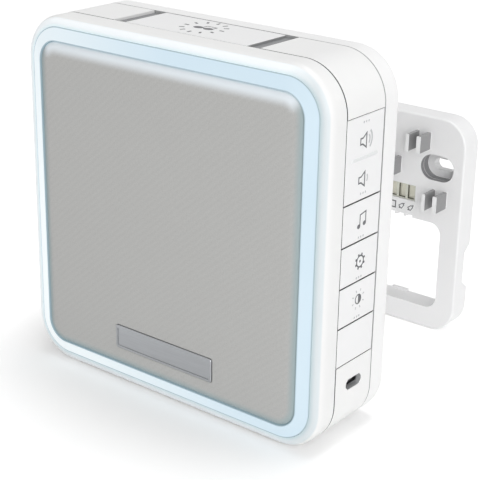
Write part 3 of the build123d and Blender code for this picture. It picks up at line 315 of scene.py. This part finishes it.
# At each edge a dull line is painted: partly weaker glow, partly painted shade of the gap.
for start, full in painted_edge_lines:
    line = add_node(
        tree, "ShaderNodeMapRange", soft_step, Value=far, From_Min=start * mm, From_Max=full * mm
    )
    glow = add_node(tree, "ShaderNodeMix", colours, Factor=line.outputs[0], i6=glow.outputs[2], i7="#8aa0a8")
shader = add_node(
    tree, "ShaderNodeBsdfPrincipled", Base_Color="#8a979e", Roughness=0.3, IOR=1.58,
    Emission_Color=glow.outputs[2], Emission_Strength=0.62,
)
surface(tree, shader)
print("the ring's lines lie between", painted_edge_lines[0], "and", painted_edge_lines[1], "mm out")

# %% [markdown]
# The speaker cloth is a fine polyester twill, drawn tight over a stiff panel. Its threads lie about
# 0.4 mm apart, too fine to show from here, but a twill also has diagonal ribs every few threads.
# These are drawn 2 mm apart, coarser than they are, run up to the right and hardly stand out. A
# finer noise stands for the threads, and a little sheen for loose fibre ends. Cloth is rough, so it
# has no highlight of its own. At the panel's soft edge the cloth bends back, and its colour there
# is painted: a painted highlight along the top, and along the other edges a painted shade with a
# painted blue reflection of the ring beside it.

# %% Woven cloth
rib_pitch, thread, rib_turn = 2.0 * mm, 0.45 * mm, math.radians(-50)
cloth_finish, tree, place = new_finish("grey_polyester_twill")
turned = add_node(tree, "ShaderNodeMapping", Vector=place, Rotation=(0.0, rib_turn, 0.0))
ribs = add_node(
    tree, "ShaderNodeTexWave", {"bands_direction": "X"}, Vector=turned.outputs[0],
    Scale=math.pi / (10 * rib_pitch), Distortion=1.2, Detail=2.0, Detail_Scale=3.0,
)
threads = add_node(tree, "ShaderNodeTexNoise", Vector=place, Scale=1 / thread, Detail=2.0)
low_ribs = add_node(tree, "ShaderNodeMath", multiply, i0=ribs.outputs[1], i1=0.1)
weave = add_node(tree, "ShaderNodeMath", add, i0=low_ribs.outputs[0], i1=threads.outputs["Fac"])
dark_to_light = add_node(tree, "ShaderNodeMapRange", Value=weave.outputs[0], From_Min=0.3, From_Max=0.9)
dye_and_painted_edges = add_node(tree, "ShaderNodeMix", colours, Factor=dark_to_light.outputs[0], i6="#b6b6b4", i7="#c4c4c2")
print("cloth: ribs", round(rib_pitch / mm, 2), "mm and threads", round(thread / mm, 2), "mm apart")

# %% Painted highlight and shade on the cloth's soft edge
far, upward = way_out(tree, place)
edges = (
    ("#eef5fa", 0.25, 0.9, 2.4, 6.0),  # painted highlight along the top edge
    ("#a3b1b3", 0.9, 0.25, 4.2, 7.0),  # painted shade and a painted blue reflection of the ring on the others
)
# Each edge colour is painted on: a highlight at the top, shade and the ring's reflection elsewhere.
for painted_edge_hex, no_share, full_share, start, full in edges:
    share = add_node(
        tree, "ShaderNodeMapRange", soft_step, Value=upward, From_Min=no_share, From_Max=full_share
    )
    turned_back = add_node(
        tree, "ShaderNodeMapRange", soft_step, Value=far, From_Min=start * mm, From_Max=full * mm
    )
    amount = add_node(tree, "ShaderNodeMath", multiply, i0=share.outputs[0], i1=turned_back.outputs[0])
    dye_and_painted_edges = add_node(tree, "ShaderNodeMix", colours, Factor=amount.outputs[0], i6=dye_and_painted_edges.outputs[2], i7=painted_edge_hex)
relief = add_node(tree, "ShaderNodeBump", Height=weave.outputs[0], Strength=0.25, Distance=0.08 * mm)
shader = add_node(
    tree, "ShaderNodeBsdfPrincipled", Base_Color=dye_and_painted_edges.outputs[2], Roughness=0.85, IOR=1.5,
    Normal=relief.outputs[0], Sheen_Weight=0.1, Sheen_Roughness=0.5,
)
surface(tree, shader)
print("cloth edges:", len(edges))

# %% [markdown]
# The badge is a bare aluminium plate that was brushed along its length. Brushing leaves fine lines
# in one direction, so the noise is stretched 60 times along X. The lines spread the light, so the
# metal looks satin. A metal keeps the default IOR, because its colour is its reflection.

# %% Brushed aluminium
line_length, line_width = 12 * mm, 0.2 * mm
badge_finish, tree, place = new_finish("brushed_aluminium")
along = add_node(
    tree, "ShaderNodeMapping", Vector=place, Scale=(1 / line_length, 1 / line_width, 1 / line_width)
)
lines = add_node(tree, "ShaderNodeTexNoise", Vector=along.outputs[0], Scale=1.0, Detail=3.0)
tone = add_node(tree, "ShaderNodeMix", colours, Factor=lines.outputs["Fac"], i6="#9b9da0", i7="#b4b6b9")
rough = add_node(tree, "ShaderNodeMapRange", Value=lines.outputs["Fac"], To_Min=0.32, To_Max=0.5)
relief = add_node(tree, "ShaderNodeBump", Height=lines.outputs["Fac"], Strength=0.1, Distance=0.02 * mm)
shader = add_node(
    tree, "ShaderNodeBsdfPrincipled", Base_Color=tone.outputs[2], Metallic=1.0,
    Roughness=rough.outputs[0], Normal=relief.outputs[0],
)
surface(tree, shader)
print("brushed lines:", round(line_length / mm, 1), "mm long and", round(line_width / mm, 2), "mm wide")

# %% [markdown]
# The other finishes are plain moulded, plated or coated surfaces. Each still gets a noise of its
# own scale for its colour, its roughness and its relief, because no real surface is one flat
# colour. One function with a few numbers does for them all.

# %% Plain moulded, plated and coated surfaces
plain_height = 0.05 * mm
smoother, rougher = 0.05, 0.08


def plain_finish(name, light_hex, dark_hex, roughness, grain, metallic=0.0, ior=1.5, bump=0.05):
    """A finish whose colour, roughness and relief follow one noise. Metals keep the default IOR."""
    material, tree, place = new_finish(name)
    noise = add_node(tree, "ShaderNodeTexNoise", Vector=place, Scale=1 / grain, Detail=4.0)
    tint = add_node(tree, "ShaderNodeMix", colours, Factor=noise.outputs["Fac"], i6=dark_hex, i7=light_hex)
    gloss = add_node(
        tree, "ShaderNodeMapRange", Value=noise.outputs["Fac"],
        To_Min=roughness - smoother, To_Max=roughness + rougher,
    )
    relief = add_node(
        tree, "ShaderNodeBump", Height=noise.outputs["Fac"], Strength=bump, Distance=plain_height
    )
    shader = add_node(
        tree, "ShaderNodeBsdfPrincipled", Base_Color=tint.outputs[2], Roughness=gloss.outputs[0],
        Metallic=metallic, Normal=relief.outputs[0],
    )
    if not metallic:
        shader.inputs["IOR"].default_value = ior
    surface(tree, shader)
    return material


# %% [markdown]
# Plastics have an IOR between 1.5 and 1.54, which gives a weak white highlight over their own
# colour. ABS and nylon are moulded and satin. Pad printing ink dries matt. The terminal block is
# cream nylon, and the faces deep in its cells get a painted dark grey for the shade there.

# %% Plastics and inks
strip_finish = plain_finish("dark_grey_abs", "#858688", "#757678", 0.4, 3 * mm, ior=1.54)
ink = plain_finish("grey_pad_print_ink", "#717274", "#66676a", 0.6, 0.5 * mm)
pale_ink = plain_finish("pale_pad_print_ink", "#c9cacc", "#bfc0c2", 0.6, 0.5 * mm)
black_plastic = plain_finish("black_nylon", "#2c2d2f", "#212224", 0.5, 1 * mm, ior=1.53)
terminal_nylon = moulded_plastic("cream_nylon_terminal", "#dcddd0", "#d0d1c4", 0.5, [terminal_cell_shade])
grey_plastic = plain_finish("grey_moulded_abs", "#cfcfd0", "#c2c2c3", 0.5, 1 * mm, ior=1.54)
cell_wrap = plain_finish("printed_cell_wrap", "#5b6670", "#4c5660", 0.3, 4 * mm)
print("plastics and inks made, finishes so far:", len(bpy.data.materials))

# %% [markdown]
# Plated metals are smooth, and their colour is their reflection: zinc is a cool grey, tin a darker
# and duller one, gold warm. The tinned leaf of a terminal has gone dull, and a ferrite magnet is a
# ceramic with a dark, half metallic look, so both reflect less than a bright metal.

# %% Metals and the magnet
zinc = plain_finish("zinc_plated_steel", "#c4c5c6", "#a9abad", 0.3, 0.6 * mm, metallic=1.0)
tin = plain_finish("tinned_steel_sheet", "#a7a8aa", "#8f9092", 0.35, 0.8 * mm, metallic=1.0)
tinned_brass = plain_finish("tinned_brass_leaf", "#f3f2e3", "#e4e2d2", 0.5, 0.7 * mm, metallic=0.6)
gold = plain_finish("gold_plated_pin", "#e6c777", "#cfae5c", 0.25, 0.6 * mm, metallic=1.0)
ferrite = plain_finish("ferrite_magnet", "#4a4a4c", "#39393b", 0.45, 0.9 * mm, metallic=0.6)
print("metals made, finishes so far:", len(bpy.data.materials))

# %% [markdown]
# The rest is inside the box. A board's green mask and a lamp's epoxy are glossy coats. Foam, the
# pressed paper of the speaker's cone and soft rubber are rough, so they look nearly black or dull
# from every side.

# %% Coats, foam, paper and rubber
board_green = plain_finish("green_solder_mask", "#1f6b45", "#185838", 0.35, 2 * mm)
lamp_epoxy = plain_finish("yellow_lamp_epoxy", "#f3ecb5", "#e6d98a", 0.3, 0.4 * mm)
foam = plain_finish("black_closed_cell_foam", "#333334", "#1f1f20", 0.95, 0.7 * mm, bump=0.4)
paper_cone = plain_finish("pressed_paper_cone", "#3b3a38", "#2a2927", 0.9, 0.5 * mm, bump=0.3)
rubber = plain_finish("soft_rubber", "#232323", "#181818", 0.7, 0.6 * mm)
print("finishes:", len(bpy.data.materials))

# %% [markdown]
# Each CAD piece already has a material slot. The table below puts the right finish in it.

# %% Finish for each CAD piece
finishes = {
    "front_bezel": front_white, "middle_band": band_white, "back_cover": cover_white,
    "battery_door": cover_white, "wall_plate": plate_white, "light_ring": ring_finish,
    "badge_plate": badge_finish, "strip_inserts": strip_finish, "top_key": top_key_white,
    "volume_rocker": key_white, "melody_key": key_white, "settings_key": key_white,
    "brightness_key": key_white, "blank_panel": key_white, "grille_carrier": grey_plastic,
    "lamp_boards": board_green, "side_board": board_green, "top_board": board_green,
    "main_board": board_green, "lamps": lamp_epoxy, "top_plunger": black_plastic,
    "rocker_plungers": black_plastic, "melody_plunger": black_plastic,
    "settings_plunger": black_plastic, "brightness_plunger": black_plastic,
    "top_switch": black_plastic, "key_switches": black_plastic, "top_board_screws": zinc,
    "side_board_screws": zinc, "speaker_screws": zinc, "housing_screws": zinc,
    "main_board_screws": zinc, "rocker_axle": zinc, "usb_shell": tin, "usb_tongue": black_plastic,
    "speaker_gasket": foam, "speaker_frame": black_plastic, "speaker_magnet": ferrite,
    "speaker_cone": paper_cone, "speaker_surround": rubber, "radio_shield": tin,
    "board_parts": black_plastic, "pin_holder": black_plastic, "contact_pins": gold,
    "battery_cells": cell_wrap, "battery_contacts": tin, "terminal_block": terminal_nylon,
    "terminal_blades": tinned_brass,
}
for name, finish in finishes.items():
    for material_slot in nodes[name].material_slots:
        material_slot.material = finish
print("CAD pieces with a finish:", len(finishes), "of", len(nodes))

# %% [markdown]
# The cloth hides the stiff panel and is drawn round its edge, so the edge looks soft. It could be
# draped by a cloth simulation, but it is stretched so tight that it has no folds. So it is built
# from rounded rectangles, one inside the other, that are joined into one surface: up the side, over
# the soft edge, across the flat face and down into the recess for the badge.


# %% Rounded loops
def rounded_loop(half_x, half_z, radius, middle_z, y, steps=10):
    """Points of a rounded rectangle at depth y, in millimetres, four corners of steps + 1 points."""
    points = []
    for corner, (sx, sz) in enumerate(((1, 1), (-1, 1), (-1, -1), (1, -1))):
        for step in range(steps + 1):
            angle = math.radians(90 * corner + 90 * step / steps)
            x = sx * (half_x - radius) + radius * math.cos(angle)
            z = middle_z + sz * (half_z - radius) + radius * math.sin(angle)
            points.append((x, y, z))
    return points


# %% From a mesh to a dressed piece
def object_from(name, mesh, smooth_angle=35):
    """An object in the scene from a bmesh, shaded smooth below an angle."""
    data = bpy.data.meshes.new(name)
    mesh.to_mesh(data)
    mesh.free()
    piece = bpy.data.objects.new(name, data)
    bpy.context.collection.objects.link(piece)
    data.shade_smooth()
    data.set_sharp_from_angle(angle=math.radians(smooth_angle))
    return piece


def skin_between(name, loops):
    """A surface through loops that have the same number of points, closed by a face at its end."""
    mesh = bmesh.new()
    rows = [[mesh.verts.new(Vector(p) * mm) for p in loop] for loop in loops]
    for row, following in zip(rows, rows[1:]):
        for i in range(len(row)):
            j = (i + 1) % len(row)
            mesh.faces.new((row[i], row[j], following[j], following[i]))
    mesh.faces.new(rows[-1])
    bmesh.ops.recalc_face_normals(mesh, faces=mesh.faces)
    return object_from(name, mesh)


def dress(piece, material, body="chime_box"):
    """Give a piece its finish and the body it moves with."""
    piece.data.materials.clear()
    piece.data.materials.append(material)
    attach(piece, body)


# %% Speaker cloth
panel_half, panel_corner = 55.5, 7.5
edge_profile = [  # how far in from the panel's side, and the depth there
    (0.0, -17.0), (0.0, -19.85), (0.1, -20.1), (0.35, -20.36), (0.8, -20.6), (1.4, -20.79),
    (2.2, -20.95), (3.2, -21.06), (4.4, -21.1),
]
cloth_loops = [
    rounded_loop(panel_half - inset, panel_half - inset, panel_corner - inset, middle, y)
    for inset, y in edge_profile
]
badge_half_x, badge_half_z, badge_corner, badge_middle = 21.7, 4.3, 0.8, middle - 44.9
recess_profile = [  # how far out from the badge's side, and the depth there
    (0.8, -21.1), (0.35, -21.1), (0.2, -21.02), (0.12, -20.85), (0.1, -20.4),
]
cloth_loops += [
    rounded_loop(badge_half_x + grow, badge_half_z + grow, badge_corner + grow, badge_middle, y)
    for grow, y in recess_profile
]
speaker_cloth = skin_between("speaker_cloth", cloth_loops)
dress(speaker_cloth, cloth_finish)
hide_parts("grille_panel")

# %% [markdown]
# The symbols on the keys are pad printed: a soft pad lays a film of ink that is a few hundredths of
# a millimetre thick. They are general signs for louder, softer, melody, settings and brightness.
# A picture on the surface would be the usual way, but this model uses no pictures. So each sign is
# drawn from strokes and filled shapes in millimetres, then raised by the ink's thickness, and
# follows its key when that is pressed.


# %% Strokes and discs
def stroke(points, width, closed=False):
    """Four-sided faces that follow a line of points, mitred at its bends."""
    count = len(points)
    left, right = [], []
    for i, point in enumerate(points):
        here = Vector(point)
        before = Vector(points[i - 1]) if closed or i else None
        after = Vector(points[(i + 1) % count]) if closed or i < count - 1 else None
        first = (here - before).normalized() if before is not None else (after - here).normalized()
        last = (after - here).normalized() if after is not None else first
        normal = Vector((-(first.y + last.y), first.x + last.x)).normalized()
        reach = width / 2 / max(0.4, normal.dot(Vector((-first.y, first.x))))
        left.append(here + normal * reach)
        right.append(here - normal * reach)
    spans = range(count if closed else count - 1)
    return [[left[i], left[(i + 1) % count], right[(i + 1) % count], right[i]] for i in spans]


def arc(cx, cy, radius, start, end, steps=12, squash=1.0):
    """Points on an arc between two angles in degrees."""
    turns = [math.radians(start + (end - start) * i / steps) for i in range(steps + 1)]
    return [(cx + radius * squash * math.cos(a), cy + radius * math.sin(a)) for a in turns]


def all_round(cx, cy, radius, squash=1.0):
    """24 points round a circle, 15 degrees apart."""
    return arc(cx, cy, radius, 0, 345, 23, squash)


def disc(cx, cy, radius, squash=1.0):
    """A filled round shape."""
    return [[Vector(p) for p in all_round(cx, cy, radius, squash)]]


def circle_line(cx, cy, radius, width):
    """A round line."""
    return stroke(all_round(cx, cy, radius), width, closed=True)


def spokes(cx, cy, count, first, inner, reach, width):
    """Short strokes that lead away from a middle, evenly spread from a first angle in degrees."""
    shapes = []
    for i in range(count):
        angle = math.radians(first + 360 / count * i)
        way = Vector((math.cos(angle), math.sin(angle)))
        start = Vector((cx, cy)) + way * inner
        shapes += stroke([start, start + way * reach], width)
    return shapes


# %% [markdown]
# A print is drawn flat, in a face's own two directions, u and v, and then laid on that face. Three
# small functions say where a point of the right side, of the top and of the wall plate lies. The
# film has sides that go a little way into the plastic, so that no gap shows under it.

# %% Lay a print on a face
ink_height = 0.03


def side_face(u, v, height):
    """A point on the right side: u to the back, v up from the box's middle."""
    return Vector((right_face + height, u, middle + v)) * mm


def top_face(u, v, height):
    """A point on the top: u to the right, v to the back."""
    return Vector((u, v, top_face_height + height)) * mm


def plate_face(u, v, height):
    """A point on the wall plate's front: u to the right, v up from the table."""
    return Vector((u, plate_front - height, v)) * mm


def lay_print(name, shapes, body, face=side_face, material=None):
    """Faces for all shapes, raised by the ink's height, with sides down into the plastic."""
    mesh = bmesh.new()
    for shape in shapes:
        top = [mesh.verts.new(face(p[0], p[1], ink_height)) for p in shape]
        foot = [mesh.verts.new(face(p[0], p[1], -ink_height)) for p in shape]
        mesh.faces.new(top)
        for i in range(len(top)):
            j = (i + 1) % len(top)
            mesh.faces.new((top[j], top[i], foot[i], foot[j]))
    bmesh.ops.recalc_face_normals(mesh, faces=mesh.faces)
    piece = object_from(name, mesh)
    dress(piece, material or ink, body)


# %% [markdown]
# The volume rocker has a small loudspeaker at each end, with two sound waves at the upper end and
# one at the lower. The waves are printed in a paler ink.


# %% Volume symbols
def speaker_sign(u, v):
    """The outline of a small speaker whose middle is at u, v."""
    outline = [(-2.3, 0.95), (-1.1, 0.95), (0.9, 2.3), (0.9, -2.3), (-1.1, -0.95), (-2.3, -0.95)]
    return stroke([(u + x, v + y) for x, y in outline], 0.5, closed=True)


louder = speaker_sign(-0.3, 39.2)
softer = speaker_sign(-0.3, 26.8)
lay_print("volume_up_sign", louder, "volume_rocker")
lay_print("volume_down_sign", softer, "volume_rocker")
waves = stroke(arc(0.6, 39.3, 2.0, -42, 42, squash=0.9), 0.7)
waves += stroke(arc(0.6, 39.3, 3.4, -50, 50, squash=0.9), 0.7)
waves += stroke(arc(0.6, 26.8, 1.7, -40, 40, squash=0.9), 0.6)
lay_print("volume_wave_signs", waves, "volume_rocker", material=pale_ink)
print("volume signs:", len(louder + softer + waves), "faces")

# %% [markdown]
# The three single keys carry a pair of notes for the melody, a cog wheel for the settings and a
# half filled sun for the brightness. The wheel's teeth and the sun's rays are spokes.

# %% Melody, settings and brightness symbols
notes = disc(-1.35, 11.45, 0.75, squash=1.1) + disc(1.75, 11.95, 0.75, squash=1.1)
notes += stroke([(-0.75, 11.5), (-0.75, 15.2), (2.4, 15.8), (2.4, 12.0)], 0.45)
lay_print("melody_sign", notes, "melody_key")

cog_u, cog_v = 0.45, -0.6
cog = circle_line(cog_u, cog_v, 1.9, 0.5) + disc(cog_u, cog_v, 0.45)
cog += spokes(cog_u, cog_v, 8, 22.5, 1.95, 0.8, 0.75)
lay_print("settings_sign", cog, "settings_key")

sun_u, sun_v = 0.45, -13.6
sun = circle_line(sun_u, sun_v, 1.55, 0.4)
sun += [[Vector(p) for p in arc(sun_u, sun_v, 1.5, -90, 90, 16)]]
lay_print("brightness_sign", sun, "brightness_key")
rays = spokes(sun_u, sun_v, 8, 22.5, 2.7, 0.85, 0.4)
lay_print("brightness_ray_signs", rays, "brightness_key", material=pale_ink)
print("single key signs:", len(notes + cog + sun + rays), "faces")

# %% [markdown]
# Near the edge of each key stand three tiny pale marks, on the rocker at both ends.


# %% Three small marks on each key
def three_marks(v):
    """Three short dashes in a row at height v."""
    return [s for u in (-1.2, 0.1, 1.4) for s in stroke([(u - 0.15, v - 0.3), (u + 0.15, v + 0.3)], 0.6)]


for name, body, heights in (
    ("volume_marks", "volume_rocker", (45.15, 22.3)), ("melody_marks", "melody_key", (7.8,)),
    ("settings_marks", "settings_key", (-5.9,)), ("brightness_marks", "brightness_key", (-19.6,)),
):
    marks = [s for v in heights for s in three_marks(v)]
    lay_print(name, marks, body, material=pale_ink)
    print(name, "at", heights, "mm from the middle")

# %% [markdown]
# The top key is larger and has one sign: a ring of twelve dashes round two joined notes.

# %% Top symbol
top_u, top_v = -0.5, 0.5
dashes = spokes(top_u, top_v, 12, 0, 6.5, 1.8, 0.8)
two_notes = [s for u in (-1.9, 2.2) for s in disc(top_u + u, top_v - 0.6, 1.35, squash=1.4)]
stems = [(-0.6, -0.4), (-0.6, 2.4), (3.5, 2.4), (3.5, -0.4)]
two_notes += stroke([(top_u + x, top_v + y) for x, y in stems], 0.45)
lay_print("top_sign", dashes + two_notes, "top_key", face=top_face)
print("top sign:", len(dashes), "dashes")

# %% [markdown]
# Under the wall plate's terminals small signs show what is wired there: two bells and a button.


# %% Wiring signs on the wall plate
def tilted_bell(u, v):
    """A small bell that hangs at 45 degrees: a cup that opens to the lower left, and its clapper."""
    cup = [(u - 1.35, v - 0.25), (u + 0.15, v + 0.85), (u + 0.85, v + 0.15), (u - 0.25, v - 1.35)]
    return stroke(cup, 0.3, closed=True) + disc(u - 1.05, v - 1.05, 0.35) + disc(u + 0.85, v + 0.85, 0.3)


wiring = tilted_bell(27.4, 47.6) + tilted_bell(23.4, 47.6)
wiring += stroke([(18.3, 46.2), (20.5, 46.2), (20.5, 48.7), (18.3, 48.7)], 0.45, closed=True)
lay_print("wiring_signs", wiring, "wall_plate", face=plate_face)

# %% [markdown]
# The light is that of a product picture: soft from all round, on white. A floor that is merely
# white looks grey where the lamps are far, and more light would wash out the box. So where the
# floor is seen directly, in a mirror or through glass, it gives off a little light, more of it
# further from the box. The weaker glow near the box paints a shadow round it on top of the box's
# own shadow, and away from it the floor goes to pure white.


# %% What sees a surface
def seen_directly(tree):
    """1 for rays from the camera, from gloss and through glass, and 0 for soft light."""
    rays = add_node(tree, "ShaderNodeLightPath")
    seen = rays.outputs["Is Camera Ray"]
    for kind in ("Is Glossy Ray", "Is Transmission Ray"):
        seen = add_node(tree, "ShaderNodeMath", larger, i0=seen, i1=rays.outputs[kind]).outputs[0]
    return seen


# %% Floor
floor_half, floor_drop = 3.0, 0.2 * mm
floor_mesh = bmesh.new()
bmesh.ops.create_grid(floor_mesh, x_segments=2, y_segments=2, size=floor_half)
floor = object_from("floor", floor_mesh)
floor.location.z = -floor_drop
floor_finish, tree, place = new_finish("white_paper_floor")
matte = add_node(tree, "ShaderNodeBsdfDiffuse", Color="#ffffff")
away = add_node(tree, "ShaderNodeVectorMath", length, i0=place)
# Weaker glow near the box paints a shadow round it; further out the floor goes to pure white.
grow = add_node(
    tree, "ShaderNodeMapRange", soft_step, Value=away.outputs["Value"],
    From_Min=0.03, From_Max=0.14, To_Min=0.09, To_Max=0.45,
)
white_lift_and_painted_shadow = add_node(tree, "ShaderNodeEmission", Color="#ffffff", Strength=grow.outputs[0])
both = add_node(tree, "ShaderNodeAddShader", i0=matte.outputs[0], i1=white_lift_and_painted_shadow.outputs[0])
pick = add_node(tree, "ShaderNodeMixShader", Fac=seen_directly(tree), i1=matte.outputs[0], i2=both.outputs[0])
surface(tree, pick)
floor.data.materials.append(floor_finish)
print("floor:", 2 * floor_half, "m wide")

# %% [markdown]
# The world gives the even light, and is white where it is seen directly. A large lamp in front and
# to the right lifts the front and the key side. Another one stands above and a little behind, so
# that a soft shadow falls on the floor before the box. The lamps are large, because a large lamp
# makes a soft shadow.

# %% World
world = bpy.data.worlds.new("studio")
bpy.context.scene.world = world
world.use_nodes = True
tree = world.node_tree
tree.nodes.clear()
strength = add_node(tree, "ShaderNodeMapRange", Value=seen_directly(tree), To_Min=0.4, To_Max=1.0)
sky = add_node(tree, "ShaderNodeBackground", Color="#ffffff", Strength=strength.outputs[0])
add_node(tree, "ShaderNodeOutputWorld", Surface=sky.outputs[0])
print("world nodes:", len(tree.nodes))


# %% Lamps
def area_lamp(name, place, aim, size, watts):
    """A round lamp of a size in metres at a place, turned to what it lights."""
    data = bpy.data.lights.new(name, "AREA")
    data.shape, data.size, data.energy = "DISK", size, watts
    lamp = bpy.data.objects.new(name, data)
    lamp.location = place
    lamp.rotation_euler = (Vector(aim) - Vector(place)).to_track_quat("-Z", "Y").to_euler()
    bpy.context.collection.objects.link(lamp)


lit_point = (0, 0, 0.06)
area_lamp("right_lamp", (0.98, -0.78, 0.42), lit_point, 1.0, 8.3)
area_lamp("top_lamp", (0.12, 0.14, 1.32), lit_point, 0.6, 5.6)
print("lamps:", [lamp.name for lamp in bpy.data.lights])

# %% [markdown]
# The camera was found from the photograph: straight edges of the box gave its place, its aim and
# the length of its lens. The lens is long, so the box is hardly distorted, and the camera is turned
# by almost one degree.

# %% Camera
lens_mm, sensor_mm, camera_turn = 100.0, 36.0, math.radians(0.974)
camera_data = bpy.data.cameras.new("camera")
camera_data.lens, camera_data.sensor_width = lens_mm, sensor_mm
camera_data.clip_start = 0.01
camera = bpy.data.objects.new("camera", camera_data)
bpy.context.collection.objects.link(camera)
eye = Vector((0.27445, -0.32797, 0.22165))
aim = Vector((0.032826, -0.0211, 0.068918))
camera.location = eye
camera.rotation_mode = "QUATERNION"
camera.rotation_quaternion = (aim - eye).to_track_quat("-Z", "Y") @ Quaternion((0, 0, 1), camera_turn)
bpy.context.scene.camera = camera
bpy.context.scene.view_settings.view_transform = "Standard"
print("camera:", round((aim - eye).length, 3), "m from what it looks at")
